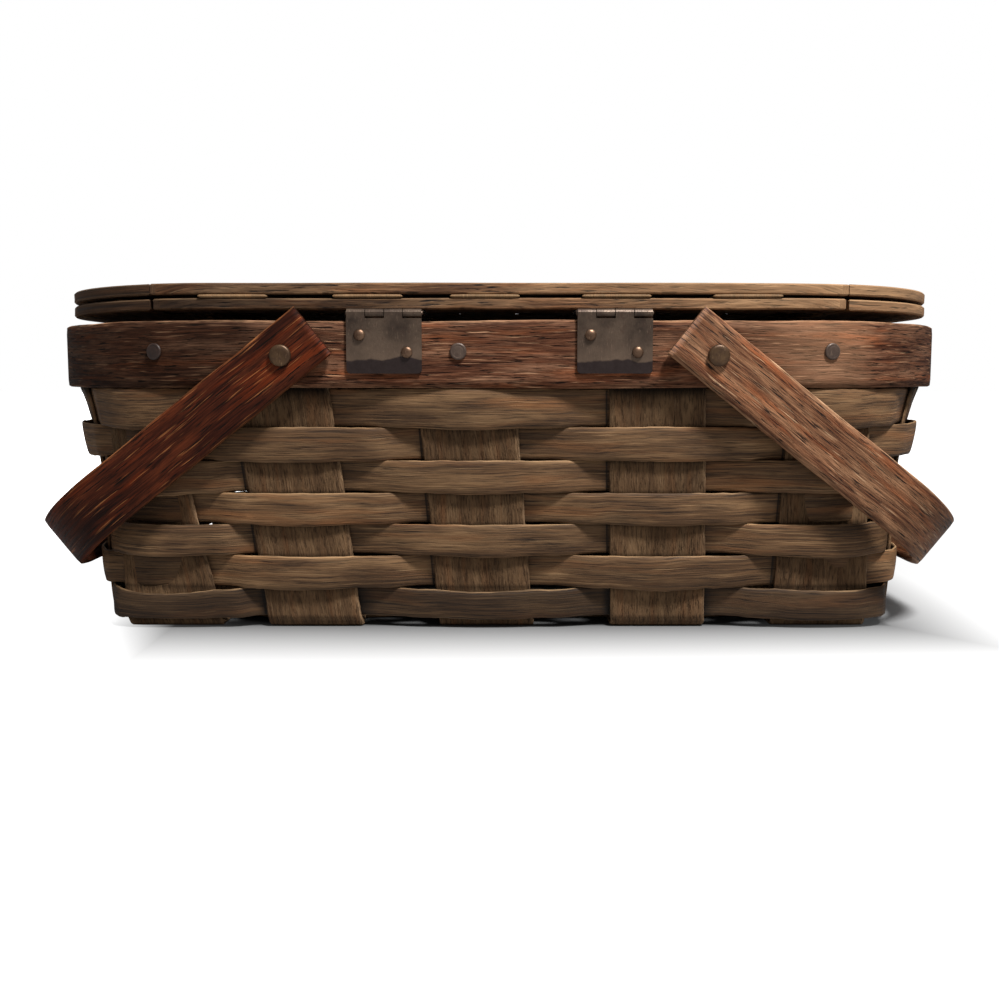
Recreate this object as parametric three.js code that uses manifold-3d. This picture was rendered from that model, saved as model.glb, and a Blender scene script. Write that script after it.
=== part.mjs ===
// Woven splint picnic basket with a hinged lid and two swing handles.
// Millimetres, +Z up. The hinge side faces -Y. The origin is on the ground under the middle.
import * as THREE from 'three';
import { mergeVertices } from 'three/addons/utils/BufferGeometryUtils.js';
import Module from 'manifold-3d';

const wasm = await Module();
wasm.setup();

// Overall shape
const rimLength = 514;
const rimDepth = 300;
const rimCornerShare = 0.793;
const rimCornerRadius = rimCornerShare * rimDepth / 2;
const rimTop = 158;
const bandHeight = 34;
const endFlare = 51.5;
const sideFlare = 11.5;
const baseLength = rimLength - 2 * endFlare;
const baseDepth = rimDepth - 2 * sideFlare;
const baseCornerRadius = 16;
const flareShare = 0.18;
const flarePower = 4;

// Splints
const stakeThickness = 2;
const stakeWidth = 49;
const weaverThickness = 1.6;
const weaveGap = 0.4;
const weaverBow = 0.8;
const rowGap = 0.5;
const stakeEdgeMargin = 1;
const foldRadius = 4;
const wallTop = rimTop - bandHeight;
const rowShares = [0.0444, 0.1734, 0.3105, 0.4419, 0.5726, 0.7056, 0.8427, 1];
const rowEdges = rowShares.map((share) => share * wallTop);

// Rim
const bandThickness = 4;
const innerBandThickness = 3.5;
const bandGap = 0.3;
const partGap = 0.3;
const cutOverrun = 1;
const nailHeadRadius = 4.2;
const nailHeadHeight = 1;
const nailSeat = 0.3;
const nailDrop = 15.5;
const nailHeight = rimTop - nailDrop;
const nailShankRadius = 1.2;
const backNailShares = [-0.675, -0.08, 0.648];
const frontNailShares = [-0.66, 0, 0.66];

// Hinges
const hingeShare = 0.223;
const hingePlace = hingeShare * rimLength / 2;
const hingeWidth = 37.4;
const leafThickness = 1;
const leafDrop = 26.5;
const barrelRadius = 2.2;
const barrelRise = 3.4;
const barrelHeight = rimTop + barrelRise;
const knuckleCount = 4;
const knuckleGap = 0.35;
const pinRadius = 1;
const pinGap = 0.25;
const pinOverhang = 0.6;
const leafClear = 0.4;
const upperLeafReach = 31;
const upperLeafNeck = 8.9;
const strapWidth = 4.7;
const leafCornerRadius = 2;
const hingeRivetRadius = 2.9;
const hingeRivetHeight = 1.5;
const hingeRivetShank = 1.3;
const upperRivetLength = 4;
const lowerRivetShares = [[-0.326, 0.283], [0.302, 0.604]];
const upperRivetShares = [[-0.316, 0.677], [0.316, 0.806]];

// Handles
const pivotClear = 31.6;
const pivotPlace = hingePlace + hingeWidth / 2 + pivotClear;
const pivotDrop = 17.7;
const pivotHeight = rimTop - pivotDrop;
const strapWide = 30;
const strapThickness = 4.5;
const handleStandOff = 1.8;
const barStand = 27.9;
const barDrop = 100.4;
const barPlace = baseLength / 2 + barStand;
const handleReach = Math.hypot(barPlace - pivotPlace, barDrop);
const handleRestAngle = Math.atan2(barDrop, barPlace - pivotPlace);
const stubLength = 20;
const bendRadius = 45;
const pivotShankRadius = 2.6;
const pivotCollarRadius = 6;
const pivotHeadRadius = 5.4;
const pivotHeadHeight = 2.2;
const pivotBurrRadius = 4.5;
const burrHeight = 1.2;

// Lid
const lidUnderside = barrelHeight + barrelRadius + partGap;
const lidEndInset = 3;
const lidHingeInset = 8.5;
const lidFrontInset = 4;
const lidCornerInset = 6;
const frameThickness = 5.6;
const layerGap = 2;
const railWidth = 32;
const endBoardWidth = 75;
const buttGap = 2;
const upperButtGap = 0.4;
const splintThickness = 1.2;
const splintRise = 0.85;
const crossSplintWidth = 35;
const crossSplintShares = [-0.754, -0.373, -0.041, 0.331, 0.703];
const longSplintGap = 1.2;
const longSplintCount = 4;
const splintTuck = 26;
const splintStop = 1.2;

// How fine the round shapes are
const arcSteps = 8;
const railArcSteps = 4;
const turnSteps = 3;
const roundSides = 14;
const smallSides = 10;

// Colours and finishes
const finishes = {
  stake: { color: 0x5a4030, roughness: 0.85, metalness: 0 },
  weaver: { color: 0x5c4630, roughness: 0.75, metalness: 0 },
  band: { color: 0x4a2a1c, roughness: 0.65, metalness: 0 },
  handle: { color: 0x50281a, roughness: 0.6, metalness: 0 },
  lid: { color: 0x5e432c, roughness: 0.75, metalness: 0 },
  iron: { color: 0x4c4038, roughness: 0.45, metalness: 0.8 },
};

// How far from the upright axis the middle of an edge lies
function spread(p, q) {
  return Math.hypot(p.x + q.x, p.y + q.y);
}

// A closed body through a row of equal section rings; an open row gets flat end caps.
// Each face folds along the diagonal that lies further out, so that neighbours stay parallel
function loft(rings, closed) {
  const size = rings[0].length;
  const position = [];
  const index = [];
  rings.forEach((ring) => ring.forEach((p) => position.push(p.x, p.y, p.z)));
  const spans = closed ? rings.length : rings.length - 1;
  for (let i = 0; i < spans; i += 1) {
    const next = (i + 1) % rings.length;
    for (let j = 0; j < size; j += 1) {
      const a = i * size + j;
      const b = i * size + (j + 1) % size;
      const c = next * size + j;
      const d = next * size + (j + 1) % size;
      const [p, q] = [rings[i][j], rings[i][(j + 1) % size]];
      const [r, s] = [rings[next][j], rings[next][(j + 1) % size]];
      if (spread(p, s) >= spread(q, r)) index.push(a, b, d, a, d, c);
      else index.push(a, b, c, b, d, c);
    }
  }
  if (!closed) {
    const last = (rings.length - 1) * size;
    const half = size / 2;
    for (let j = 0; j < half - 1; j += 1) {
      const far = size - 1 - j;
      index.push(j, far, j + 1, j + 1, far, far - 1);
      index.push(last + j, last + j + 1, last + far, last + j + 1, last + far - 1, last + far);
    }
  }
  const geometry = new THREE.BufferGeometry();
  geometry.setAttribute('position', new THREE.Float32BufferAttribute(position, 3));
  geometry.setIndex(index);
  return faceOut(geometry);
}

function signedVolume(geometry) {
  const p = geometry.getAttribute('position');
  const index = geometry.getIndex();
  const [a, b, c] = [new THREE.Vector3(), new THREE.Vector3(), new THREE.Vector3()];
  let volume = 0;
  for (let i = 0; i < index.count; i += 3) {
    a.fromBufferAttribute(p, index.getX(i));
    b.fromBufferAttribute(p, index.getX(i + 1));
    c.fromBufferAttribute(p, index.getX(i + 2));
    volume += a.dot(b.cross(c));
  }
  return volume;
}

function faceOut(geometry) {
  if (signedVolume(geometry) < 0) {
    const index = geometry.getIndex();
    for (let i = 0; i < index.count; i += 3) {
      const kept = index.getX(i);
      index.setX(i, index.getX(i + 1));
      index.setX(i + 1, kept);
    }
  }
  return geometry;
}

// Joins and cuts
function solidOf(geometry) {
  const bare = geometry.clone();
  bare.deleteAttribute('normal');
  bare.deleteAttribute('uv');
  const merged = mergeVertices(bare);
  return new wasm.Manifold(new wasm.Mesh({
    numProp: 3,
    vertProperties: new Float32Array(merged.getAttribute('position').array),
    triVerts: new Uint32Array(merged.getIndex().array),
  }));
}

function geometryOf(solid) {
  const mesh = solid.getMesh();
  const geometry = new THREE.BufferGeometry();
  geometry.setAttribute('position', new THREE.BufferAttribute(mesh.vertProperties, mesh.numProp));
  geometry.setIndex(new THREE.BufferAttribute(mesh.triVerts, 1));
  return geometry;
}

function cut(geometry, holes) {
  return geometryOf(holes.reduce((solid, hole) => solid.subtract(solidOf(hole)), solidOf(geometry)));
}

function join(pieces) {
  const [first, ...others] = pieces;
  return geometryOf(others.reduce((solid, piece) => solid.add(solidOf(piece)), solidOf(first)));
}

function cylinderAlong(axis, radius, low, high, sides) {
  const geometry = new THREE.CylinderGeometry(radius, radius, high - low, sides);
  geometry.translate(0, (low + high) / 2, 0);
  if (axis === 'x') geometry.rotateZ(-Math.PI / 2);
  if (axis === 'z') geometry.rotateX(Math.PI / 2);
  return geometry;
}

function boxBetween(low, high) {
  const size = high.map((value, i) => value - low[i]);
  const geometry = new THREE.BoxGeometry(...size);
  return geometry.translate(...low.map((value, i) => value + size[i] / 2));
}

// A rounded rectangle, walked anticlockwise from the middle of its hinge side
function quarterLength(outline) {
  return outline.a - outline.r + outline.b - outline.r + Math.PI * outline.r / 2;
}

function outlinePoint(outline, distance) {
  const quarter = quarterLength(outline);
  const whole = 4 * quarter;
  let s = ((distance % whole) + whole) % whole;
  const mirrored = s > 2 * quarter;
  if (mirrored) s = whole - s;
  const { a, b, r } = outline;
  const straightX = a - r;
  const straightY = 2 * (b - r);
  const arc = Math.PI * r / 2;
  let x;
  let y;
  let nx;
  let ny;
  if (s <= straightX) {
    [x, y, nx, ny] = [s, -b, 0, -1];
  } else if (s <= straightX + arc) {
    const angle = (s - straightX) / r;
    [nx, ny] = [Math.sin(angle), -Math.cos(angle)];
    [x, y] = [straightX + r * nx, -(b - r) + r * ny];
  } else if (s <= straightX + arc + straightY) {
    [x, y, nx, ny] = [a, s - straightX - arc - (b - r), 1, 0];
  } else if (s <= straightX + 2 * arc + straightY) {
    const angle = (s - straightX - arc - straightY) / r;
    [nx, ny] = [Math.cos(angle), Math.sin(angle)];
    [x, y] = [straightX + r * nx, b - r + r * ny];
  } else {
    [x, y, nx, ny] = [2 * quarter - s, b, 0, 1];
  }
  const side = mirrored ? -1 : 1;
  return { x: side * x, y, nx: side * nx, ny };
}

function grown(outline, offset) {
  return { a: outline.a + offset, b: outline.b + offset, r: outline.r + offset };
}

// The middle surface of the woven wall
const bandOuter = { a: rimLength / 2, b: rimDepth / 2, r: rimCornerRadius };
const rimMiddle = grown(bandOuter, -(bandThickness + bandGap + stakeThickness / 2));
const baseMiddle = { a: baseLength / 2, b: baseDepth / 2, r: baseCornerRadius };

function wallOutline(z) {
  const t = Math.min(z / wallTop, 1);
  const lean = (1 - flareShare) * t + flareShare * t ** flarePower;
  return {
    a: THREE.MathUtils.lerp(baseMiddle.a, rimMiddle.a, lean),
    b: THREE.MathUtils.lerp(baseMiddle.b, rimMiddle.b, lean),
    r: THREE.MathUtils.lerp(baseMiddle.r, rimMiddle.r, t),
  };
}

function wallPoint(z, distance, offset) {
  const p = outlinePoint(wallOutline(z), distance);
  return new THREE.Vector3(p.x + p.nx * offset, p.y + p.ny * offset, z);
}

// Stakes: where each one stands along its side of the base and of the rim, as shares of the
// half-length of the base, of the half-depth of the base and of a quarter of the rim
const crossBaseShares = [-0.82, -0.465, -0.032, 0.4, 0.806];
const crossRimShares = [-0.553, -0.319, -0.048, 0.23, 0.496];
const longBaseShares = [-0.7, 0, 0.7];
const longRimShares = [-0.245, 0, 0.245];
const rimQuarter = quarterLength(rimMiddle);
const flatColumns = [-1, 0, 1];
const roundColumns = [-1, -0.5, 0, 0.5, 1];

const crossStakes = crossBaseShares.map((share, i) => ({
  base: share * baseMiddle.a,
  rim: crossRimShares[i] * rimQuarter,
  columns: i === 0 || i === crossBaseShares.length - 1 ? roundColumns : flatColumns,
}));
const longStakes = longBaseShares.map((share, i) => ({
  base: share * baseMiddle.b,
  rim: longRimShares[i] * rimQuarter,
  columns: share === 0 ? flatColumns : roundColumns,
}));

// Going round the basket: hinge side, right end, opening side, left end
const uprights = [
  ...crossStakes.map((stake) => ({ ...stake, side: 0, sign: 1 })),
  ...longStakes.map((stake) => ({ ...stake, side: 1, sign: 1 })),
  ...[...crossStakes].reverse().map((stake) => ({ ...stake, side: 2, sign: -1 })),
  ...[...longStakes].reverse().map((stake) => ({ ...stake, side: 3, sign: -1 })),
];

function uprightDistance(upright, z) {
  const t = Math.min(z / wallTop, 1);
  const along = THREE.MathUtils.lerp(upright.base, upright.rim, t);
  return upright.side * quarterLength(wallOutline(z)) + upright.sign * along;
}

const downMiddle = stakeThickness / 2;
const foldTop = downMiddle + foldRadius;
const wallLevels = [foldTop, ...rowEdges.slice(1), rimTop - bandGap];
const upMiddle = downMiddle + stakeThickness + weaveGap;

// The section of a stake on the wall, from its outer face round to its inner face
function wallRing(stake, side, z) {
  const sign = side < 2 ? 1 : -1;
  const upright = { ...stake, side, sign };
  const middle = uprightDistance(upright, z);
  const at = (column, offset) => wallPoint(z, middle + sign * column * stakeWidth / 2, offset);
  const outer = stake.columns.map((column) => at(column, stakeThickness / 2));
  const inner = [...stake.columns].reverse().map((column) => at(column, -stakeThickness / 2));
  return [...outer, ...inner];
}

// The section of a stake in the fold or on the bottom; run is the coordinate along the stake
function bottomRing(stake, across, run, height, tiltRun, tiltHeight) {
  const place = (column, offset) => {
    const side = stake.base + column * stakeWidth / 2;
    const along = run + offset * tiltRun;
    const z = height + offset * tiltHeight;
    return across === 'x' ? new THREE.Vector3(side, along, z) : new THREE.Vector3(along, side, z);
  };
  const outer = stake.columns.map((column) => place(column, stakeThickness / 2));
  const inner = [...stake.columns].reverse().map((column) => place(column, -stakeThickness / 2));
  return [...outer, ...inner];
}

function foldRings(stake, across, end, sign) {
  const rings = [];
  for (let i = 1; i <= turnSteps; i += 1) {
    const angle = (Math.PI / 2) * i / turnSteps;
    const run = sign * (end - foldRadius + foldRadius * Math.cos(angle));
    const height = foldTop - foldRadius * Math.sin(angle);
    rings.push(bottomRing(stake, across, run, height, sign * Math.cos(angle), -Math.sin(angle)));
  }
  return rings;
}

// One stake: down the first wall, along the bottom over and under the others, up the far wall
function stakeGeometry(stake, across, crossings, isUp) {
  const [firstSide, lastSide] = across === 'x' ? [0, 2] : [3, 1];
  const foot = wallOutline(foldTop);
  const end = across === 'x' ? foot.b : foot.a;
  const half = stakeWidth / 2 + stakeEdgeMargin;
  const rings = [...wallLevels].reverse().map((z) => wallRing(stake, firstSide, z));
  rings.push(...foldRings(stake, across, end, -1));
  crossings.forEach((place, i) => {
    const height = isUp(i) ? upMiddle : downMiddle;
    rings.push(bottomRing(stake, across, place - half, height, 0, -1));
    rings.push(bottomRing(stake, across, place + half, height, 0, -1));
  });
  rings.push(...foldRings(stake, across, end, 1).reverse());
  rings.push(...wallLevels.map((z) => wallRing(stake, lastSide, z)));
  return loft(rings, false);
}

// Weavers: each passes outside one upright and inside the next
const passOffset = stakeThickness / 2 + weaveGap + weaverThickness / 2;

function rowStations(row, z) {
  const stations = [];
  const half = stakeWidth / 2;
  const whole = 4 * quarterLength(wallOutline(z));
  const middles = uprights.map((upright) => uprightDistance(upright, z));
  uprights.forEach((upright, j) => {
    const outside = (j + row) % 2 === 0;
    const side = outside ? 1 : -1;
    upright.columns.forEach((column) => {
      const bow = outside ? weaverBow * (1 - column * column) : 0;
      stations.push({ s: middles[j] + column * half, offset: side * passOffset + bow });
    });
    const following = uprights[(j + 1) % uprights.length];
    const next = j + 1 < middles.length ? middles[j + 1] : middles[0] + whole;
    const start = middles[j] + half;
    const gap = next - half - start;
    const turns = upright.columns === roundColumns || following.columns === roundColumns;
    const steps = turns ? turnSteps : 1;
    for (let i = 1; i < steps; i += 1) {
      const t = i / steps;
      stations.push({ s: start + gap * t, offset: side * passOffset * (1 - 2 * t * t * (3 - 2 * t)) });
    }
  });
  return stations;
}

function weaverGeometry(row) {
  const level = rowEdges.length - 2 - row;
  const low = rowEdges[level] + rowGap / 2;
  const high = rowEdges[level + 1] - rowGap / 2;
  const highStations = rowStations(row, high);
  const rings = rowStations(row, low).map((lowStation, i) => {
    const highStation = highStations[i];
    const half = weaverThickness / 2;
    return [
      wallPoint(low, lowStation.s, lowStation.offset + half),
      wallPoint(high, highStation.s, highStation.offset + half),
      wallPoint(high, highStation.s, highStation.offset - half),
      wallPoint(low, lowStation.s, lowStation.offset - half),
    ];
  });
  return loft(rings, true);
}

// A band round the rim, with a corner in line with each edge of the uprights beside it
function bandGeometry(outerOffset, innerOffset) {
  const rings = rowStations(0, wallTop).map(({ s }) => [
    wallPoint(wallTop, s, outerOffset),
    wallPoint(rimTop, s, outerOffset),
    wallPoint(rimTop, s, innerOffset),
    wallPoint(wallTop, s, innerOffset),
  ]);
  return loft(rings, true);
}

// A turned fastener: its axis is +Y, and each row of the profile is a radius and a height
function turned(rows, sides) {
  return new THREE.LatheGeometry(rows.map(([radius, height]) => new THREE.Vector2(radius, height)), sides);
}

// A low dome on top of a flat underside, as rows of a turned profile
function domeRows(radius, base, height) {
  const rows = [[radius, base]];
  for (let i = 1; i < turnSteps; i += 1) {
    const angle = (Math.PI / 2) * i / turnSteps;
    rows.push([radius * Math.cos(angle), base + height * Math.sin(angle)]);
  }
  rows.push([0, base + height]);
  return rows;
}

const basket = new THREE.Group();

function addPiece(parent, name, geometry, finish) {
  const bare = geometry.index ? geometry.clone() : mergeVertices(geometry);
  bare.deleteAttribute('uv');
  bare.deleteAttribute('normal');
  const merged = mergeVertices(bare);
  merged.computeVertexNormals();
  const material = new THREE.MeshStandardMaterial(finishes[finish]);
  const mesh = new THREE.Mesh(merged, material);
  mesh.name = name;
  parent.add(mesh);
  return mesh;
}

// The handle rivets pass through a stake where one stands in their way
function drillForPivots(stake, geometry) {
  const holes = [];
  [-1, 1].forEach((end) => {
    const near = Math.abs(end * pivotPlace - stake.rim) - stakeWidth / 2;
    if (near > pivotShankRadius + partGap) return;
    holes.push(cylinderAlong('y', pivotShankRadius + partGap, -rimDepth, rimDepth, smallSides)
      .translate(end * pivotPlace, 0, pivotHeight));
  });
  return holes.length > 0 ? cut(geometry, holes) : geometry;
}

// Woven body
const woven = new THREE.Group();
basket.add(woven);
const crossPlaces = crossStakes.map((stake) => stake.base);
const longPlaces = longStakes.map((stake) => stake.base);
crossStakes.forEach((stake, i) => {
  const geometry = stakeGeometry(stake, 'x', longPlaces, (j) => (i + j) % 2 === 1);
  addPiece(woven, `cross_stake_${i + 1}`, drillForPivots(stake, geometry), 'stake');
});
longStakes.forEach((stake, j) => {
  const geometry = stakeGeometry(stake, 'y', crossPlaces, (i) => (i + j) % 2 === 0);
  addPiece(woven, `long_stake_${j + 1}`, geometry, 'stake');
});
for (let row = 0; row < rowEdges.length - 1; row += 1) {
  addPiece(woven, `weaver_${row + 1}`, weaverGeometry(row), 'weaver');
}

// Places measured outward from the outer face of the outer band
const hingeFace = -rimDepth / 2;
const innerFace = -(bandThickness + 2 * bandGap + stakeThickness + innerBandThickness);
const legInner = handleStandOff;
const legOuter = legInner + strapThickness;

// A hole through the hinge side or the opening side of the rim
function rimHole(x, z, radius, side) {
  const hole = cylinderAlong('y', radius, innerFace - cutOverrun, cutOverrun, smallSides);
  if (side < 0) hole.rotateX(Math.PI);
  return hole.translate(x, side * rimDepth / 2, z);
}

// A piece turned along +Y, set on the hinge side (-1) or the opening side (1) of the rim
function onRim(geometry, x, z, side) {
  if (side < 0) geometry.rotateX(Math.PI);
  return geometry.translate(x, side * rimDepth / 2, z);
}

function onCurvedRim(geometry, distance, z, side) {
  const p = outlinePoint(bandOuter, distance);
  geometry.rotateZ(Math.atan2(-p.nx, p.ny));
  return geometry.translate(p.x, side * Math.abs(p.y), z);
}

// Where each fastener goes through the rim: x, z, hole radius and side
const nails = [];
[[-1, backNailShares], [1, frontNailShares]].forEach(([side, shares]) => {
  shares.forEach((share) => nails.push({ x: share * rimLength / 2, z: nailHeight, side }));
});
const hingeCentres = [-hingePlace, hingePlace];
const leafRivets = hingeCentres.flatMap((centre) => lowerRivetShares.map(([share, drop]) => (
  { x: centre + share * hingeWidth, z: rimTop - drop * leafDrop, side: -1 })));
const pivots = [[-1, -1], [-1, 1], [1, -1], [1, 1]].map(([end, side]) => (
  { x: end * pivotPlace, z: pivotHeight, side }));

function nailDistance(nail) {
  const straight = bandOuter.a - bandOuter.r;
  const beyond = Math.max(Math.abs(nail.x) - straight, 0);
  const flat = Math.min(Math.abs(nail.x), straight);
  const reach = Math.sign(nail.x) * (flat + bandOuter.r * Math.asin(beyond / bandOuter.r));
  return nail.side < 0 ? reach : 2 * quarterLength(bandOuter) - reach;
}

function nailHole(nail) {
  const radius = nailShankRadius + partGap;
  const hole = cylinderAlong('y', radius, -bandThickness - cutOverrun, cutOverrun, smallSides);
  return onCurvedRim(hole, nailDistance(nail), nail.z, nail.side);
}

// Rim bands
const bandClear = stakeThickness / 2 + bandGap;
const rim = new THREE.Group();
basket.add(rim);
const pivotHoles = pivots.map((p) => rimHole(p.x, p.z, pivotShankRadius + partGap, p.side));
const leafHoles = leafRivets.map((p) => rimHole(p.x, p.z, hingeRivetShank + partGap, p.side));
const outerBand = bandGeometry(bandClear + bandThickness, bandClear);
const innerBand = bandGeometry(-bandClear, -bandClear - innerBandThickness);
const outerHoles = [...pivotHoles, ...leafHoles, ...nails.map(nailHole)];
addPiece(rim, 'rim_outer_band', cut(outerBand, outerHoles), 'band');
addPiece(rim, 'rim_inner_band', cut(innerBand, pivotHoles), 'band');

nails.forEach((nail, i) => {
  const shank = [[0, -bandThickness], [nailShankRadius, -bandThickness], [nailShankRadius, nailSeat]];
  const geometry = turned([...shank, ...domeRows(nailHeadRadius, nailSeat, nailHeadHeight)], smallSides);
  onCurvedRim(geometry, nailDistance(nail), nail.z, nail.side);
  addPiece(rim, `rim_nail_${i + 1}`, geometry, 'iron');
});

// Hinges: the lower leaf stands on the band and the upper leaf lies under the lid
const leafOuter = partGap + leafThickness;
const barrelPlace = hingeFace - leafOuter + barrelRadius;
const hinges = new THREE.Group();
basket.add(hinges);
const knucklePitch = hingeWidth / knuckleCount;

function knuckle(i) {
  const low = -hingeWidth / 2 + knucklePitch * i + knuckleGap / 2;
  return cylinderAlong('x', barrelRadius, low, low + knucklePitch - knuckleGap, roundSides);
}

function barrelBore() {
  return cylinderAlong('x', pinRadius + pinGap, -hingeWidth, hingeWidth, smallSides);
}

// In the hinge's own frame the barrel's axis is x, and y points into the basket
function lowerLeafGeometry() {
  const face = -barrelRadius;
  const top = -barrelRadius - leafClear;
  const bottom = -leafDrop - barrelRise;
  const outline = new THREE.Shape();
  const half = hingeWidth / 2;
  const corner = leafCornerRadius;
  outline.moveTo(-half, top);
  outline.lineTo(-half, bottom + corner);
  outline.absarc(-half + corner, bottom + corner, corner, -Math.PI, -Math.PI / 2);
  outline.absarc(half - corner, bottom + corner, corner, -Math.PI / 2, 0);
  outline.lineTo(half, top);
  const extent = { depth: leafThickness, bevelEnabled: false, curveSegments: turnSteps };
  const plate = new THREE.ExtrudeGeometry(outline, extent);
  plate.rotateX(Math.PI / 2).translate(0, face + leafThickness, 0);
  const pieces = [plate];
  for (let i = 0; i < knuckleCount; i += 2) {
    const low = -half + knucklePitch * i + knuckleGap / 2;
    const high = low + knucklePitch - knuckleGap;
    pieces.push(boxBetween([low, face, top - leafThickness], [high, face + leafThickness, 0]));
    pieces.push(knuckle(i));
  }
  const [low, high] = [face - cutOverrun, face + leafThickness + cutOverrun];
  const holes = lowerRivetShares.map(([share, drop]) => {
    const hole = cylinderAlong('y', hingeRivetShank + partGap, low, high, smallSides);
    return hole.translate(share * hingeWidth, 0, -drop * leafDrop - barrelRise);
  });
  return cut(join(pieces), [barrelBore(), ...holes]);
}

// Where the upper rivets stand in the hinge's own frame
const upperRivetPlaces = upperRivetShares.map(([x, y]) => [x * hingeWidth, y * upperLeafReach]);

function upperLeafGeometry() {
  const half = hingeWidth / 2;
  const under = barrelRadius - leafThickness;
  const pieces = [boxBetween([-half, upperLeafNeck, under], [half, upperLeafReach, barrelRadius])];
  for (let i = 1; i < knuckleCount; i += 2) {
    const low = -half + knucklePitch * i + knuckleGap / 2;
    const far = [low + strapWidth, upperLeafNeck + leafThickness, barrelRadius];
    pieces.push(boxBetween([low, 0, under], far));
    pieces.push(knuckle(i));
  }
  const [low, high] = [under - cutOverrun, barrelRadius + cutOverrun];
  const holes = upperRivetPlaces.map(([x, y]) => {
    const hole = cylinderAlong('z', hingeRivetShank + partGap, low, high, smallSides);
    return hole.translate(x, y, 0);
  });
  return cut(join(pieces), [barrelBore(), ...holes]);
}

hingeCentres.forEach((centre, i) => {
  const hinge = new THREE.Group();
  hinge.position.set(centre, barrelPlace, barrelHeight);
  hinges.add(hinge);
  addPiece(hinge, `hinge_${i + 1}_lower_leaf`, lowerLeafGeometry(), 'iron');
  addPiece(hinge, `hinge_${i + 1}_upper_leaf`, upperLeafGeometry(), 'iron');
  const pinHalf = hingeWidth / 2 + pinOverhang;
  const pin = cylinderAlong('x', pinRadius, -pinHalf, pinHalf, smallSides);
  addPiece(hinge, `hinge_${i + 1}_pin`, pin, 'iron');
  upperRivetPlaces.forEach(([x, y], j) => {
    const base = barrelRadius - leafThickness - partGap;
    const top = base + leafThickness + upperRivetLength;
    const rows = [[0, -top], [hingeRivetShank, -top], [hingeRivetShank, -base]];
    const geometry = turned([...rows, ...domeRows(hingeRivetRadius, -base, hingeRivetHeight)], smallSides);
    geometry.rotateX(-Math.PI / 2).translate(x, y, 0);
    addPiece(hinge, `hinge_${i + 1}_upper_rivet_${j + 1}`, geometry, 'iron');
  });
});
leafRivets.forEach((rivet, i) => {
  const seat = leafOuter + partGap;
  const rows = [[0, -bandThickness], [hingeRivetShank, -bandThickness], [hingeRivetShank, seat]];
  const geometry = turned([...rows, ...domeRows(hingeRivetRadius, seat, hingeRivetHeight)], smallSides);
  const name = `hinge_${Math.floor(i / 2) + 1}_lower_rivet_${(i % 2) + 1}`;
  addPiece(hinges, name, onRim(geometry, rivet.x, rivet.z, rivet.side), 'iron');
});

// Handles: a bent strip with one leg outside each long side, turning on shouldered rivets
function handleGeometry() {
  const outerY = rimDepth / 2 + legOuter;
  const innerY = rimDepth / 2 + legInner;
  const bend = handleReach - bendRadius;
  const innerBend = bendRadius - strapThickness;
  const shape = new THREE.Shape();
  shape.moveTo(-stubLength, -outerY);
  shape.lineTo(bend, -outerY);
  shape.absarc(bend, -outerY + bendRadius, bendRadius, -Math.PI / 2, 0);
  shape.absarc(bend, outerY - bendRadius, bendRadius, 0, Math.PI / 2);
  shape.lineTo(-stubLength, outerY);
  shape.lineTo(-stubLength, innerY);
  shape.absarc(bend, innerY - innerBend, innerBend, Math.PI / 2, 0, true);
  shape.absarc(bend, -innerY + innerBend, innerBend, 0, -Math.PI / 2, true);
  shape.lineTo(-stubLength, -innerY);
  const extent = { depth: strapWide, bevelEnabled: false, curveSegments: arcSteps };
  const strip = new THREE.ExtrudeGeometry(shape, extent);
  strip.translate(0, 0, -strapWide / 2);
  const [low, high] = [-outerY - cutOverrun, outerY + cutOverrun];
  return cut(strip, [cylinderAlong('y', pivotShankRadius + partGap, low, high, smallSides)]);
}

[['handle_left', Math.PI], ['handle_right', 0]].forEach(([name, turn]) => {
  const end = new THREE.Group();
  end.rotation.z = turn;
  const swing = new THREE.Group();
  swing.position.set(pivotPlace, 0, pivotHeight);
  swing.rotation.y = handleRestAngle;
  end.add(swing);
  basket.add(end);
  addPiece(swing, name, handleGeometry(), 'handle');
});

pivots.forEach((pivot, i) => {
  const burrTop = innerFace - partGap;
  const collarTop = legInner - partGap;
  const headBase = legOuter + partGap;
  const rows = [
    [0, burrTop - burrHeight],
    [pivotBurrRadius, burrTop - burrHeight],
    [pivotBurrRadius, burrTop],
    [pivotShankRadius, burrTop],
    [pivotShankRadius, partGap],
    [pivotCollarRadius, partGap],
    [pivotCollarRadius, collarTop],
    [pivotShankRadius, collarTop],
    [pivotShankRadius, headBase],
    [pivotHeadRadius, headBase],
    [pivotHeadRadius, headBase + pivotHeadHeight / 2],
    [pivotHeadRadius - pivotHeadHeight / 2, headBase + pivotHeadHeight],
    [0, headBase + pivotHeadHeight],
  ];
  const geometry = onRim(turned(rows, roundSides), pivot.x, pivot.z, pivot.side);
  addPiece(basket, `pivot_rivet_${i + 1}`, geometry, 'iron');
});

// Lid: two sawn frames with a woven panel held between them
const lid = new THREE.Group();
basket.add(lid);
const lidHingeEdge = barrelPlace + lidHingeInset;
const lidFrontEdge = rimDepth / 2 - lidFrontInset;
const lidMiddle = (lidHingeEdge + lidFrontEdge) / 2;
const lidOutline = {
  a: rimLength / 2 - lidEndInset,
  b: (lidFrontEdge - lidHingeEdge) / 2,
  r: rimCornerRadius - lidCornerInset,
};
const boardInner = lidOutline.a - endBoardWidth;
const lowerLayer = lidUnderside;
const upperLayer = lidUnderside + frameThickness + layerGap;
const panelHeight = lidUnderside + frameThickness + layerGap / 2;
const cornerX = lidOutline.a - lidOutline.r;
const cornerY = lidOutline.b - lidOutline.r;

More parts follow.
